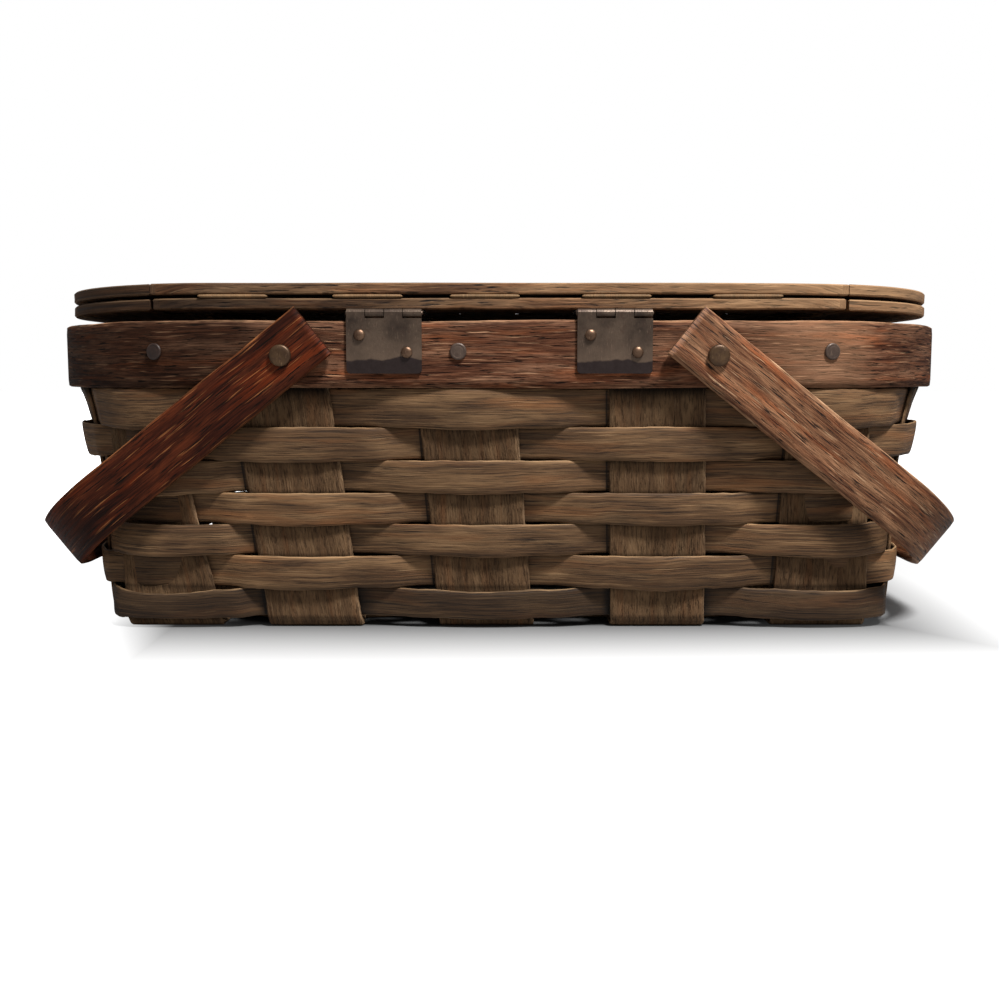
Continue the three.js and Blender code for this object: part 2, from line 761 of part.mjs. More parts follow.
// Points of the lid's corner arc between two angles from the hinge side's outward direction
function cornerPoints(from, to, steps) {
  const points = [];
  for (let i = 0; i <= steps; i += 1) {
    const angle = from + (to - from) * i / steps;
    const x = cornerX + lidOutline.r * Math.sin(angle);
    points.push(new THREE.Vector2(x, -cornerY - lidOutline.r * Math.cos(angle)));
  }
  return points;
}

function slab(points, base) {
  const shape = new THREE.Shape(points);
  const geometry = new THREE.ExtrudeGeometry(shape, { depth: frameThickness, bevelEnabled: false });
  return geometry.translate(0, lidMiddle, base);
}

function endBoard(end, base) {
  const start = Math.asin((boardInner - cornerX) / lidOutline.r);
  const near = cornerPoints(start, Math.PI / 2, arcSteps);
  const far = near.map((p) => new THREE.Vector2(p.x, -p.y)).reverse();
  const points = [...near, ...far];
  return slab(end > 0 ? points : points.map((p) => new THREE.Vector2(-p.x, p.y)).reverse(), base);
}

function longRail(side, base, gap) {
  const reach = boardInner - gap;
  const right = cornerPoints(0, Math.asin((reach - cornerX) / lidOutline.r), railArcSteps);
  const left = right.map((p) => new THREE.Vector2(-p.x, p.y)).reverse();
  const inner = -lidOutline.b + railWidth;
  const ends = [new THREE.Vector2(reach, inner), new THREE.Vector2(-reach, inner)];
  const points = [...left, ...right, ...ends];
  return slab(side < 0 ? points : points.map((p) => new THREE.Vector2(p.x, -p.y)).reverse(), base);
}

[['lower', lowerLayer, buttGap], ['upper', upperLayer, upperButtGap]].forEach(([layer, base, gap]) => {
  addPiece(lid, `lid_${layer}_left_board`, endBoard(-1, base), 'lid');
  addPiece(lid, `lid_${layer}_right_board`, endBoard(1, base), 'lid');
  addPiece(lid, `lid_${layer}_front_rail`, longRail(1, base, gap), 'lid');
  const rail = longRail(-1, base, gap);
  const [low, high] = [base - cutOverrun, base + upperRivetLength + partGap];
  const centres = layer === 'upper' ? [] : hingeCentres;
  const holes = centres.flatMap((centre) => upperRivetPlaces.map(([x, y]) => {
    const hole = cylinderAlong('z', hingeRivetShank + partGap, low, high, smallSides);
    return hole.translate(centre + x, barrelPlace + y, 0);
  }));
  addPiece(lid, `lid_${layer}_hinge_rail`, holes.length > 0 ? cut(rail, holes) : rail, 'lid');
});

// A splint of the lid panel: its run along the lid, and its height at each station
function splintGeometry(across, centre, width, stations) {
  const rings = stations.map(([run, height]) => {
    const at = (side, level) => {
      const place = centre + side * width / 2;
      const z = height + level * splintThickness / 2;
      return across === 'x' ? new THREE.Vector3(place, run, z) : new THREE.Vector3(run, place, z);
    };
    return [at(-1, -1), at(1, -1), at(1, 1), at(-1, 1)];
  });
  return loft(rings, false);
}

function wovenStations(ends, edges, crossings, half, isUp) {
  const stations = [[ends[0], panelHeight], [edges[0], panelHeight]];
  crossings.forEach((place, i) => {
    const height = panelHeight + (isUp(i) ? splintRise : -splintRise);
    stations.push([place - half, height], [place + half, height]);
  });
  stations.push([edges[1], panelHeight], [ends[1], panelHeight]);
  return stations;
}

const crossSplintPlaces = crossSplintShares.map((share) => share * boardInner);
const longSplintPitch = 2 * (lidOutline.b - railWidth) / longSplintCount;
const longSplintWidth = longSplintPitch - longSplintGap;
const longSplintPlaces = [];
for (let j = 0; j < longSplintCount; j += 1) {
  longSplintPlaces.push(lidMiddle + longSplintPitch * (j - (longSplintCount - 1) / 2));
}
const crossEnds = [lidHingeEdge + splintStop, lidFrontEdge - splintStop];
const crossEdges = [lidHingeEdge + railWidth, lidFrontEdge - railWidth];
const longEnds = [-boardInner - splintTuck, boardInner + splintTuck];
const longEdges = [-boardInner, boardInner];
crossSplintPlaces.forEach((place, i) => {
  const half = longSplintWidth / 2 + partGap;
  const isUp = (j) => (i + j) % 2 === 0;
  const stations = wovenStations(crossEnds, crossEdges, longSplintPlaces, half, isUp);
  const geometry = splintGeometry('x', place, crossSplintWidth, stations);
  addPiece(lid, `lid_cross_splint_${i + 1}`, geometry, 'weaver');
});
longSplintPlaces.forEach((place, j) => {
  const half = crossSplintWidth / 2 + partGap;
  const isUp = (i) => (i + j) % 2 === 1;
  const stations = wovenStations(longEnds, longEdges, crossSplintPlaces, half, isUp);
  const geometry = splintGeometry('y', place, longSplintWidth, stations);
  addPiece(lid, `lid_long_splint_${j + 1}`, geometry, 'weaver');
});

export default basket;
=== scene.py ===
import math

import bmesh
import bpy
from mathutils import Matrix, Vector, noise


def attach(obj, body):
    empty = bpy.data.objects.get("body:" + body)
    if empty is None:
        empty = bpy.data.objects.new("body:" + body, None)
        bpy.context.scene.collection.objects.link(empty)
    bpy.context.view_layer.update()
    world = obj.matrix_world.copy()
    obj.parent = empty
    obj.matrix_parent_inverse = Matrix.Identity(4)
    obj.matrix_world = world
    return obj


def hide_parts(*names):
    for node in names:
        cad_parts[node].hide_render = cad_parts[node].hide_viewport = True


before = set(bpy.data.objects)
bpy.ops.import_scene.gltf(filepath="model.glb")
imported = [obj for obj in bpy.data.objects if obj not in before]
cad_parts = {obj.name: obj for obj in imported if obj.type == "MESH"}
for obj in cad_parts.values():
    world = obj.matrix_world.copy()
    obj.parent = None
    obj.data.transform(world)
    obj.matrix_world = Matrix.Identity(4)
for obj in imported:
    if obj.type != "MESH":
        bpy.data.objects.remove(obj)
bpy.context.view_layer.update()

# Overall shape, in metres
RIM_LENGTH = 0.514
RIM_DEPTH = 0.3
RIM_CORNER = 0.793 * RIM_DEPTH / 2
RIM_TOP = 0.158
BAND_HEIGHT = 0.034
WALL_TOP = RIM_TOP - BAND_HEIGHT
BASE_LENGTH = 0.411
BASE_DEPTH = 0.277
BASE_CORNER = 0.016
FLARE_SHARE = 0.18
FLARE_POWER = 4

# Splints of the wall
STAKE_THICKNESS = 0.002
STAKE_WIDTH = 0.049
WEAVER_THICKNESS = 0.0016
WEAVE_GAP = 0.0004
ROW_GAP = 0.0005
FOLD_RADIUS = 0.004
ROW_EDGES = [s * WALL_TOP for s in (0.0444, 0.1734, 0.3105, 0.4419, 0.5726, 0.7056, 0.8427, 1)]
CROSS_BASE_SHARES = [-0.82, -0.465, -0.032, 0.4, 0.806]
CROSS_RIM_SHARES = [-0.553, -0.319, -0.048, 0.23, 0.496]
LONG_BASE_SHARES = [-0.7, 0, 0.7]
LONG_RIM_SHARES = [-0.245, 0, 0.245]
PASS_OFFSET = STAKE_THICKNESS / 2 + WEAVE_GAP + WEAVER_THICKNESS / 2

# Rim
BAND_THICKNESS = 0.004
INNER_BAND_THICKNESS = 0.0035
BAND_GAP = 0.0003
BAND_CLEAR = STAKE_THICKNESS / 2 + BAND_GAP
NAIL_SHANK = 0.0012
NAIL_HEAD_RADIUS = 0.0042
NAIL_HEAD_HEIGHT = 0.001
NAIL_SEAT = 0.0003
NAIL_HEIGHT = RIM_TOP - 0.0155
BACK_NAIL_SHARES = [-0.675, -0.08, 0.648]
FRONT_NAIL_SHARES = [-0.66, 0, 0.66]

# Hinges
HINGE_PLACE = 0.223 * RIM_LENGTH / 2
HINGE_WIDTH = 0.0374
LEAF_THICKNESS = 0.001
LEAF_DROP = 0.0265
LEAF_OUTER = 0.0013
BARREL_RADIUS = 0.0022
BARREL_HEIGHT = RIM_TOP + 0.0034
BARREL_Y = -RIM_DEPTH / 2 - LEAF_OUTER + BARREL_RADIUS
PIN_RADIUS = 0.001
PIN_OVERHANG = 0.0006
UPPER_LEAF_REACH = 0.031
RIVET_SHANK = 0.0013
RIVET_RADIUS = 0.0029
RIVET_HEIGHT = 0.0015
PART_GAP = 0.0003
UPPER_RIVET_LENGTH = 0.004
LOWER_RIVET_SHARES = [(-0.326, 0.283), (0.302, 0.604)]
UPPER_RIVET_SHARES = [(-0.316, 0.677), (0.316, 0.806)]

# Handles
PIVOT_PLACE = HINGE_PLACE + HINGE_WIDTH / 2 + 0.0316
PIVOT_HEIGHT = RIM_TOP - 0.0177
HANDLE_WIDTH = 0.03
HANDLE_THICKNESS = 0.0045
HANDLE_STAND_OFF = 0.0018
PIVOT_SHANK = 0.0026
PIVOT_COLLAR_RADIUS = 0.006
PIVOT_HEAD_RADIUS = 0.0054
PIVOT_HEAD_HEIGHT = 0.0022
PIVOT_BURR_RADIUS = 0.0045
PIVOT_BURR_HEIGHT = 0.0012
BAR_PLACE = BASE_LENGTH / 2 + 0.0279
BAR_DROP = 0.1004
HANDLE_REACH = math.hypot(BAR_PLACE - PIVOT_PLACE, BAR_DROP)
HANDLE_REST = math.atan2(BAR_DROP, BAR_PLACE - PIVOT_PLACE)
HANDLE_STUB = 0.02
HANDLE_BEND = 0.045

# Lid
LID_UNDERSIDE = BARREL_HEIGHT + BARREL_RADIUS + 0.0003
LID_END_INSET = 0.003
LID_HINGE_INSET = 0.0085
LID_FRONT_INSET = 0.004
LID_CORNER = RIM_CORNER - 0.006
FRAME_THICKNESS = 0.0056
LAYER_GAP = 0.002
RAIL_WIDTH = 0.032
END_BOARD_WIDTH = 0.075
LOWER_BUTT_GAP = 0.002
UPPER_BUTT_GAP = 0.0004
SPLINT_RISE = 0.00075
SPLINT_SHOWN_THICKNESS = 0.0016
CROSS_SPLINT_WIDTH = 0.035
CROSS_SPLINT_SHARES = [-0.754, -0.373, -0.041, 0.331, 0.703]
LONG_SPLINT_LAP = 0.003
LONG_SPLINTS = 4
SPLINT_TUCK = 0.026
SPLINT_SHOWS = 0.0002

# How finely the visible meshes are cut
FINE_STEP = 0.0045
ACROSS_STEPS = 8
RING_SIDES = 28


def lerp(a, b, t):
    return a + (b - a) * t


def smooth(t):
    t = min(max(t, 0.0), 1.0)
    return t * t * (3 - 2 * t)


def wander(x, seed, scale):
    """A steady random line through x, from -1 to 1, that repeats for the same seed."""
    return 1.6 * noise.noise(Vector((x * scale, seed * 7.31, seed * 3.17)))


# A rounded rectangle, walked anticlockwise from the middle of its hinge side
def quarter_length(outline):
    a, b, r = outline
    return a - r + b - r + math.pi * r / 2


def outline_point(outline, distance):
    a, b, r = outline
    quarter = quarter_length(outline)
    s = distance % (4 * quarter)
    mirrored = s > 2 * quarter
    if mirrored:
        s = 4 * quarter - s
    straight_x = a - r
    straight_y = 2 * (b - r)
    arc = math.pi * r / 2
    if s <= straight_x:
        x, y, nx, ny = s, -b, 0.0, -1.0
    elif s <= straight_x + arc:
        angle = (s - straight_x) / r
        nx, ny = math.sin(angle), -math.cos(angle)
        x, y = straight_x + r * nx, -(b - r) + r * ny
    elif s <= straight_x + arc + straight_y:
        x, y, nx, ny = a, s - straight_x - arc - (b - r), 1.0, 0.0
    elif s <= straight_x + 2 * arc + straight_y:
        angle = (s - straight_x - arc - straight_y) / r
        nx, ny = math.cos(angle), math.sin(angle)
        x, y = straight_x + r * nx, b - r + r * ny
    else:
        x, y, nx, ny = 2 * quarter - s, b, 0.0, 1.0
    side = -1 if mirrored else 1
    return side * x, y, side * nx, ny


def grown(outline, offset):
    return tuple(value + offset for value in outline)


BAND_OUTER = (RIM_LENGTH / 2, RIM_DEPTH / 2, RIM_CORNER)
RIM_MIDDLE = grown(BAND_OUTER, -(BAND_THICKNESS + BAND_CLEAR))
BASE_MIDDLE = (BASE_LENGTH / 2, BASE_DEPTH / 2, BASE_CORNER)


def wall_outline(z):
    t = min(z / WALL_TOP, 1)
    lean = (1 - FLARE_SHARE) * t + FLARE_SHARE * t**FLARE_POWER
    return (
        lerp(BASE_MIDDLE[0], RIM_MIDDLE[0], lean),
        lerp(BASE_MIDDLE[1], RIM_MIDDLE[1], lean),
        lerp(BASE_MIDDLE[2], RIM_MIDDLE[2], t),
    )


def wall_point(z, distance, offset):
    x, y, nx, ny = outline_point(wall_outline(z), distance)
    return Vector((x + nx * offset, y + ny * offset, z))


def wall_normal(z, distance):
    _, _, nx, ny = outline_point(wall_outline(z), distance)
    return Vector((nx, ny, 0))


# Where the uprights stand
RIM_QUARTER = quarter_length(RIM_MIDDLE)
cross_stakes = [
    (base * BASE_MIDDLE[0], rim * RIM_QUARTER)
    for base, rim in zip(CROSS_BASE_SHARES, CROSS_RIM_SHARES)
]
long_stakes = [
    (base * BASE_MIDDLE[1], rim * RIM_QUARTER)
    for base, rim in zip(LONG_BASE_SHARES, LONG_RIM_SHARES)
]
uprights = [(*stake, 0, 1) for stake in cross_stakes]
uprights += [(*stake, 1, 1) for stake in long_stakes]
uprights += [(*stake, 2, -1) for stake in reversed(cross_stakes)]
uprights += [(*stake, 3, -1) for stake in reversed(long_stakes)]


def upright_distance(upright, z):
    base, rim, side, sign = upright
    t = min(z / WALL_TOP, 1)
    return side * quarter_length(wall_outline(z)) + sign * lerp(base, rim, t)


# Meshes
def new_object(name, mesh, body, nodes, material):
    obj = bpy.data.objects.new(name, mesh)
    bpy.context.scene.collection.objects.link(obj)
    mesh.materials.append(material)
    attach(obj, body)
    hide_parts(*nodes)
    return obj


def mesh_from(name, points, faces, grain, wear_and_shade, around=0.0):
    """A mesh that keeps its wood coordinates (along, across, seed) and its per-vertex edge, shade and side
    values as attributes.

    Where a hoop closes, around is its length, so that its grain runs on without a seam."""
    mesh = bpy.data.meshes.new(name)
    mesh.from_pydata(points, [], faces)
    work = bmesh.new()
    work.from_mesh(mesh)
    bmesh.ops.recalc_face_normals(work, faces=work.faces)
    work.to_mesh(mesh)
    work.free()
    wear_and_shade_layer = mesh.attributes.new("wear_and_shade", "FLOAT_VECTOR", "POINT")
    wear_and_shade_layer.data.foreach_set("vector", [value for triple in wear_and_shade for value in triple])
    values = []
    for face in mesh.polygons:
        alongs = [grain[i][0] for i in face.vertices]
        closing = around > 0 and max(alongs) - min(alongs) > around / 2
        for i in face.vertices:
            along, across, seed = grain[i]
            late = closing and along < sum(alongs) / len(alongs)
            values += [along + around if late else along, across, seed]
    grain_layer = mesh.attributes.new("grain", "FLOAT_VECTOR", "CORNER")
    grain_layer.data.foreach_set("vector", values)
    mesh.polygons.foreach_set("use_smooth", [True] * len(mesh.polygons))
    return mesh


# The section of a splint: how far across, from -1 to 1, and how thick there, from 0 to 1
def section_rows(edge_share, steps):
    rows = []
    for i in range(steps + 1):
        v = -1 + 2 * i / steps
        rows.append((v, 1.0))
    eased = []
    for v, _ in rows:
        if abs(v) > 1 - 1e-6:
            eased.append((v, 0.3))
            continue
        eased.append((v, 1.0))
    near = 1 - edge_share
    eased.insert(1, (-near, 0.86))
    eased.insert(-1, (near, 0.86))
    return sorted(eased)


def splint_mesh(name, stations, thickness, closed, seed, edge_share=0.05, steps=ACROSS_STEPS):
    """A wooden strip through its stations: (low edge, high edge, outward, along, cup, shade)."""
    rows = section_rows(edge_share, steps)
    points = []
    grain = []
    wear_and_shade = []
    size = 2 * len(rows)
    for low, high, out, along, cup, shade in stations:
        width = (high - low).length
        for side in (1, -1):
            for v, thick in rows if side > 0 else list(reversed(rows)):
                middle = low.lerp(high, (v + 1) / 2) + out * (cup * (1 - v * v))
                points.append(middle + out * (side * thick * thickness / 2))
                grain.append((along, v * width / 2, seed))
                wear_and_shade.append((abs(v), shade, 1 if side > 0 else 0))
    faces = []
    count = len(stations)
    for i in range(count if closed else count - 1):
        j = (i + 1) % count
        for k in range(size):
            m = (k + 1) % size
            faces.append((i * size + k, i * size + m, j * size + m, j * size + k))
    if not closed:
        half = size // 2
        last = (count - 1) * size
        for k in range(half - 1):
            far = size - 1 - k
            faces.append((k, far, far - 1, k + 1))
            faces.append((last + k, last + k + 1, last + far - 1, last + far))
    around = stations[-1][3] - stations[0][3] + FINE_STEP if closed else 0.0
    return mesh_from(name, points, faces, grain, wear_and_shade, around)


def turned_mesh(name, rows, sides=RING_SIDES):
    """A piece turned about +Z from (radius, height) rows that start and end on the axis."""
    points = []
    rings = []
    for radius, height in rows:
        if radius < 1e-7:
            rings.append([len(points)])
            points.append(Vector((0, 0, height)))
            continue
        ring = []
        for i in range(sides):
            angle = 2 * math.pi * i / sides
            ring.append(len(points))
            points.append(Vector((radius * math.cos(angle), radius * math.sin(angle), height)))
        rings.append(ring)
    faces = []
    for first, second in zip(rings, rings[1:]):
        for i in range(sides):
            j = (i + 1) % sides
            if len(first) == 1:
                faces.append((first[0], second[i], second[j]))
            elif len(second) == 1:
                faces.append((first[i], second[0], first[j]))
            else:
                faces.append((first[i], second[i], second[j], first[j]))
    grain = [(p.x, p.y, p.z) for p in points]
    wear_and_shade = [(0, 0, 1)] * len(points)
    return mesh_from(name, points, faces, grain, wear_and_shade)


# Materials
def srgb(red, green, blue):
    def linear(value):
        value /= 255
        return value / 12.92 if value <= 0.04045 else ((value + 0.055) / 1.055) ** 2.4

    return linear(red), linear(green), linear(blue), 1


class Nodes:
    """A short way to write a material's node tree."""

    def __init__(self, name):
        self.material = bpy.data.materials.new(name)
        self.material.use_nodes = True
        self.tree = self.material.node_tree
        self.shader = self.tree.nodes["Principled BSDF"]

    def add(self, kind, values=None, **settings):
        node = self.tree.nodes.new(kind)
        for key, value in settings.items():
            setattr(node, key, value)
        for key, value in (values or {}).items():
            if isinstance(value, bpy.types.NodeSocket):
                self.tree.links.new(value, node.inputs[key])
            else:
                node.inputs[key].default_value = value
        return node

    def attribute(self, name):
        return self.add("ShaderNodeAttribute", attribute_name=name).outputs["Vector"]

    def stretched(self, source, along, across, up):
        values = {0: source, 1: (along, across, up)}
        return self.add("ShaderNodeVectorMath", values, operation="MULTIPLY").outputs[0]

    def noise(self, vector, scale, detail, roughness=0.55):
        values = {"Vector": vector, "Scale": scale, "Detail": detail, "Roughness": roughness}
        return self.add("ShaderNodeTexNoise", values).outputs["Fac"]

    def between(self, value, low, high, to_low=0.0, to_high=1.0):
        values = {"Value": value, 1: low, 2: high, 3: to_low, 4: to_high}
        return self.add("ShaderNodeMapRange", values).outputs[0]

    def math(self, operation, first, second):
        return self.add("ShaderNodeMath", {0: first, 1: second}, operation=operation).outputs[0]

    def mix(self, factor, first, second, blend="MIX"):
        node = self.add("ShaderNodeMix", data_type="RGBA", blend_type=blend)
        for socket, value in (("Factor", factor), ("A", first), ("B", second)):
            inputs = [s for s in node.inputs if s.name == socket and s.enabled]
            if isinstance(value, bpy.types.NodeSocket):
                self.tree.links.new(value, inputs[0])
            else:
                inputs[0].default_value = value
        return [s for s in node.outputs if s.enabled][0]

    def set(self, socket, value):
        if isinstance(value, bpy.types.NodeSocket):
            self.tree.links.new(value, self.shader.inputs[socket])
        else:
            self.shader.inputs[socket].default_value = value


def wood(
    name, dark, middle, light, warm, pale_colour,
    contrast=1.0, coarse=1.0, run=1.0, gloss=0.6, fuzz=0.35, sheen=0.2,
):
    """Stained splint or board: long pores, pale fibres, warm patches, scuffed pale edges kept strong on the
    upper edge (partly a painted highlight), and darkening or paling from each vertex's shade value, which
    holds painted shade where a piece tucks in or lies under another part.
    """
    m = Nodes(name)
    grain = m.attribute("grain")
    wear_and_shade = m.add("ShaderNodeSeparateXYZ", {0: m.attribute("wear_and_shade")}).outputs
    bend = m.noise(m.stretched(grain, 14, 26, 7), 1, 2)
    shift = m.add("ShaderNodeCombineXYZ", {0: 0.0, 1: m.between(bend, 0, 1, -0.002, 0.002), 2: 0.0})
    grain = m.add("ShaderNodeVectorMath", {0: grain, 1: shift.outputs[0]}, operation="ADD").outputs[0]
    fibres = m.noise(m.stretched(grain, 70 * run, 1500 * coarse, 9), 1, 4, 0.7)
    streaks = m.noise(m.stretched(grain, 22 * run, 620 * coarse, 5), 1, 4, 0.65)
    blotches = m.noise(m.stretched(grain, 20, 130, 3), 1, 4, 0.6)
    pores = m.noise(m.stretched(grain, 75 * run, 1050 * coarse, 7), 1, 3, 0.6)
    body = m.mix(m.between(streaks, 0.38, 0.6), dark, middle)
    body = m.mix(m.between(blotches, 0.46, 0.66, 0, 0.75), body, light)
    glow = m.noise(m.stretched(grain, 14, 150, 13), 1, 3)
    body = m.mix(m.between(glow, 0.52, 0.7, 0, 0.7), body, warm)
    cloud = m.noise(m.stretched(grain, 11, 40, 19), 1, 3)
    fine = m.between(fibres, 0.3, 0.7, 1 - 0.5 * contrast, 1 + 0.45 * contrast)
    fine = m.math("MULTIPLY", fine, m.between(cloud, 0.35, 0.62, 0.72, 1.08))
    shade = m.add("ShaderNodeCombineXYZ", {0: fine, 1: fine, 2: fine}).outputs[0]
    body = m.mix(1.0, body, shade, "MULTIPLY")
    body = m.mix(m.between(pores, 0.56, 0.64, 0, 0.8 * contrast), body, srgb(18, 10, 6))
    pale = m.noise(m.stretched(grain, 45 * run, 1000 * coarse, 17), 1, 2)
    body = m.mix(m.between(pale, 0.62, 0.7, 0, 0.45 * contrast), body, pale_colour)
    # Positive shade values darken toward near-black: painted shade in recesses and under parts, and darker
    # stretches of band and lid; negative values pale the colour.
    body = m.mix(m.between(wear_and_shade["Y"], 0, 1, 0, 0.95), body, srgb(12, 7, 4))
    body = m.mix(m.between(wear_and_shade["Y"], -1, 0, 0.6, 0), body, pale_colour)
    ragged = m.math("ADD", wear_and_shade["X"], m.between(fibres, 0.3, 0.7, -0.06, 0.06))
    height = m.add("ShaderNodeSeparateXYZ", {0: grain}).outputs["Y"]
    patchy = m.between(m.noise(m.stretched(grain, 35, 50, 23), 1, 3), 0.42, 0.6, 0.15, 1)
    # Painted highlight: the pale scuffed edge stays strong only along the upper edge, so it is partly real
    # edge marks and partly a painted highlight.
    patchy = m.math("MULTIPLY", patchy, m.between(height, -0.004, 0.004, 0.3, 1))
    scuffed_edge_and_highlight = m.math("MULTIPLY", m.between(ragged, 0.93, 1.0, 0, 0.6), patchy)
    body = m.mix(scuffed_edge_and_highlight, body, pale_colour)
    m.set("Base Color", body)
    m.set("Roughness", m.between(streaks, 0.3, 0.7, gloss - 0.08, gloss + 0.18))
    m.set("Specular IOR Level", sheen)
    height = m.math("ADD", m.math("MULTIPLY", fibres, 0.8), m.math("MULTIPLY", streaks, 0.6))
    height = m.math("SUBTRACT", height, m.between(pores, 0.55, 0.68, 0, 0.6))
    values = {"Strength": fuzz, "Distance": 0.001, "Height": height}
    m.set("Normal", m.add("ShaderNodeBump", values).outputs[0])
    return m.material


def iron(name, dark, bare, polish, metal=0.65, patch_top=0.0):
    """Dark patinated iron with brown mottling and scratches. Below patch_top it is blackened."""
    m = Nodes(name)
    place = m.add("ShaderNodeTexCoord").outputs["Object"]
    mottle = m.noise(place, 420, 5, 0.65)
    cloud = m.noise(place, 90, 3)
    scratch = m.noise(m.stretched(place, 1900, 300, 300), 1, 3)
    body = m.mix(m.between(cloud, 0.38, 0.66), dark, bare)
    body = m.mix(m.between(mottle, 0.5, 0.72, 0, 0.7), body, srgb(58, 38, 27))
    body = m.mix(m.between(scratch, 0.62, 0.72, 0, 0.5), body, polish)
    if patch_top > 0:
        level = m.add("ShaderNodeSeparateXYZ", {0: place}).outputs["Z"]
        wave = m.noise(m.stretched(place, 42, 42, 20), 1, 3)
        level = m.math("ADD", level, m.between(wave, 0.3, 0.7, -0.0024, 0.0024))
        body = m.mix(m.between(level, patch_top + 0.001, patch_top + 0.016, 0.4, 0), body, polish)
        patch = m.between(level, patch_top - 0.0004, patch_top + 0.0004, 0.92, 0)
        body = m.mix(patch, body, srgb(38, 28, 29))
    m.set("Base Color", body)
    m.set("Metallic", metal)
    m.set("Roughness", m.between(mottle, 0.3, 0.7, 0.32, 0.55))
    height = m.math("ADD", m.math("MULTIPLY", mottle, 0.7), m.math("MULTIPLY", scratch, 0.3))
    values = {"Strength": 0.3, "Distance": 0.0006, "Height": height}
    m.set("Normal", m.add("ShaderNodeBump", values).outputs[0])
    return m.material


weaver_wood = wood(
    "weaver_wood",
    srgb(66, 46, 29), srgb(107, 78, 52), srgb(136, 104, 72), srgb(128, 84, 50), srgb(178, 142, 102),
    contrast=0.92, coarse=1.75, run=0.6, fuzz=0.35,
)
stake_wood = wood(
    "stake_wood",
    srgb(86, 64, 45), srgb(104, 79, 56), srgb(124, 97, 70), srgb(108, 73, 47), srgb(160, 130, 100),
    contrast=0.45, coarse=1.4, run=2.2, gloss=0.85, fuzz=1.0, sheen=0.1,
)
band_wood = wood(
    "band_wood",
    srgb(60, 33, 22), srgb(102, 65, 46), srgb(140, 102, 78), srgb(134, 74, 42), srgb(196, 150, 114),
    contrast=1.3, fuzz=0.55, sheen=0.05,
)
left_handle_wood = wood(
    "left_handle_wood",
    srgb(34, 12, 6), srgb(68, 28, 13), srgb(86, 39, 19), srgb(112, 44, 14), srgb(172, 110, 64),
    contrast=1.25, coarse=0.9, run=0.8, gloss=0.5, fuzz=0.5, sheen=0.1,
)
right_handle_wood = wood(
    "right_handle_wood",
    srgb(78, 43, 27), srgb(132, 90, 62), srgb(160, 118, 86), srgb(146, 80, 43), srgb(204, 166, 128),
    contrast=1.25, coarse=1.05, run=1.1, gloss=0.5, fuzz=0.5, sheen=0.15,
)
lid_wood = wood(
    "lid_wood",
    srgb(76, 50, 32), srgb(126, 90, 62), srgb(158, 122, 88), srgb(148, 92, 50), srgb(186, 148, 108),
    contrast=1.25, coarse=0.9, gloss=0.7,
)
leaf_top = RIM_TOP - LEAF_DROP + 0.0062
leaf_iron = iron("leaf_iron", srgb(58, 46, 38), srgb(92, 76, 63), srgb(132, 110, 92), 0.6, leaf_top)
dark_iron = iron("dark_iron", srgb(58, 46, 38), srgb(92, 76, 63), srgb(132, 110, 92))
rivet_iron = iron("rivet_iron", srgb(84, 62, 48), srgb(122, 96, 76), srgb(190, 160, 132), 0.85)
pivot_brass = iron("pivot_brass", srgb(66, 46, 30), srgb(98, 74, 50), srgb(150, 120, 90), 0.6)
nail_iron = iron("nail_iron", srgb(42, 27, 21), srgb(58, 39, 30), srgb(88, 64, 50), 0.12)
grey_iron = iron("grey_iron", srgb(72, 57, 48), srgb(92, 75, 64), srgb(128, 108, 92), 0.3)


# Stakes
def stake_station(low, high, out, along, shade):
    return low, high, out, along, 0.0, shade


def wall_levels():
    count = 84
    bottom = STAKE_THICKNESS / 2 + FOLD_RADIUS
    return [lerp(bottom, RIM_TOP - BAND_GAP, i / count) for i in range(count + 1)]


def stake_painted_shade(z):
    """Painted shade under the rim band, painted shadow just under each row's edge, and painted shade in the
    fold.
    """
    row_edge_shadow = max(smooth(1 - (edge - z) / 0.0035) if z < edge else 0 for edge in ROW_EDGES)
    return max(smooth((z - WALL_TOP + 0.008) / 0.008), 0.5 * smooth((0.008 - z) / 0.006), 0.6 * row_edge_shadow)


def edge_wander(along, seed):
    fibres = 0.00014 * wander(along, seed, 900)
    return fibres + 0.0005 * wander(along, seed + 2, 50)


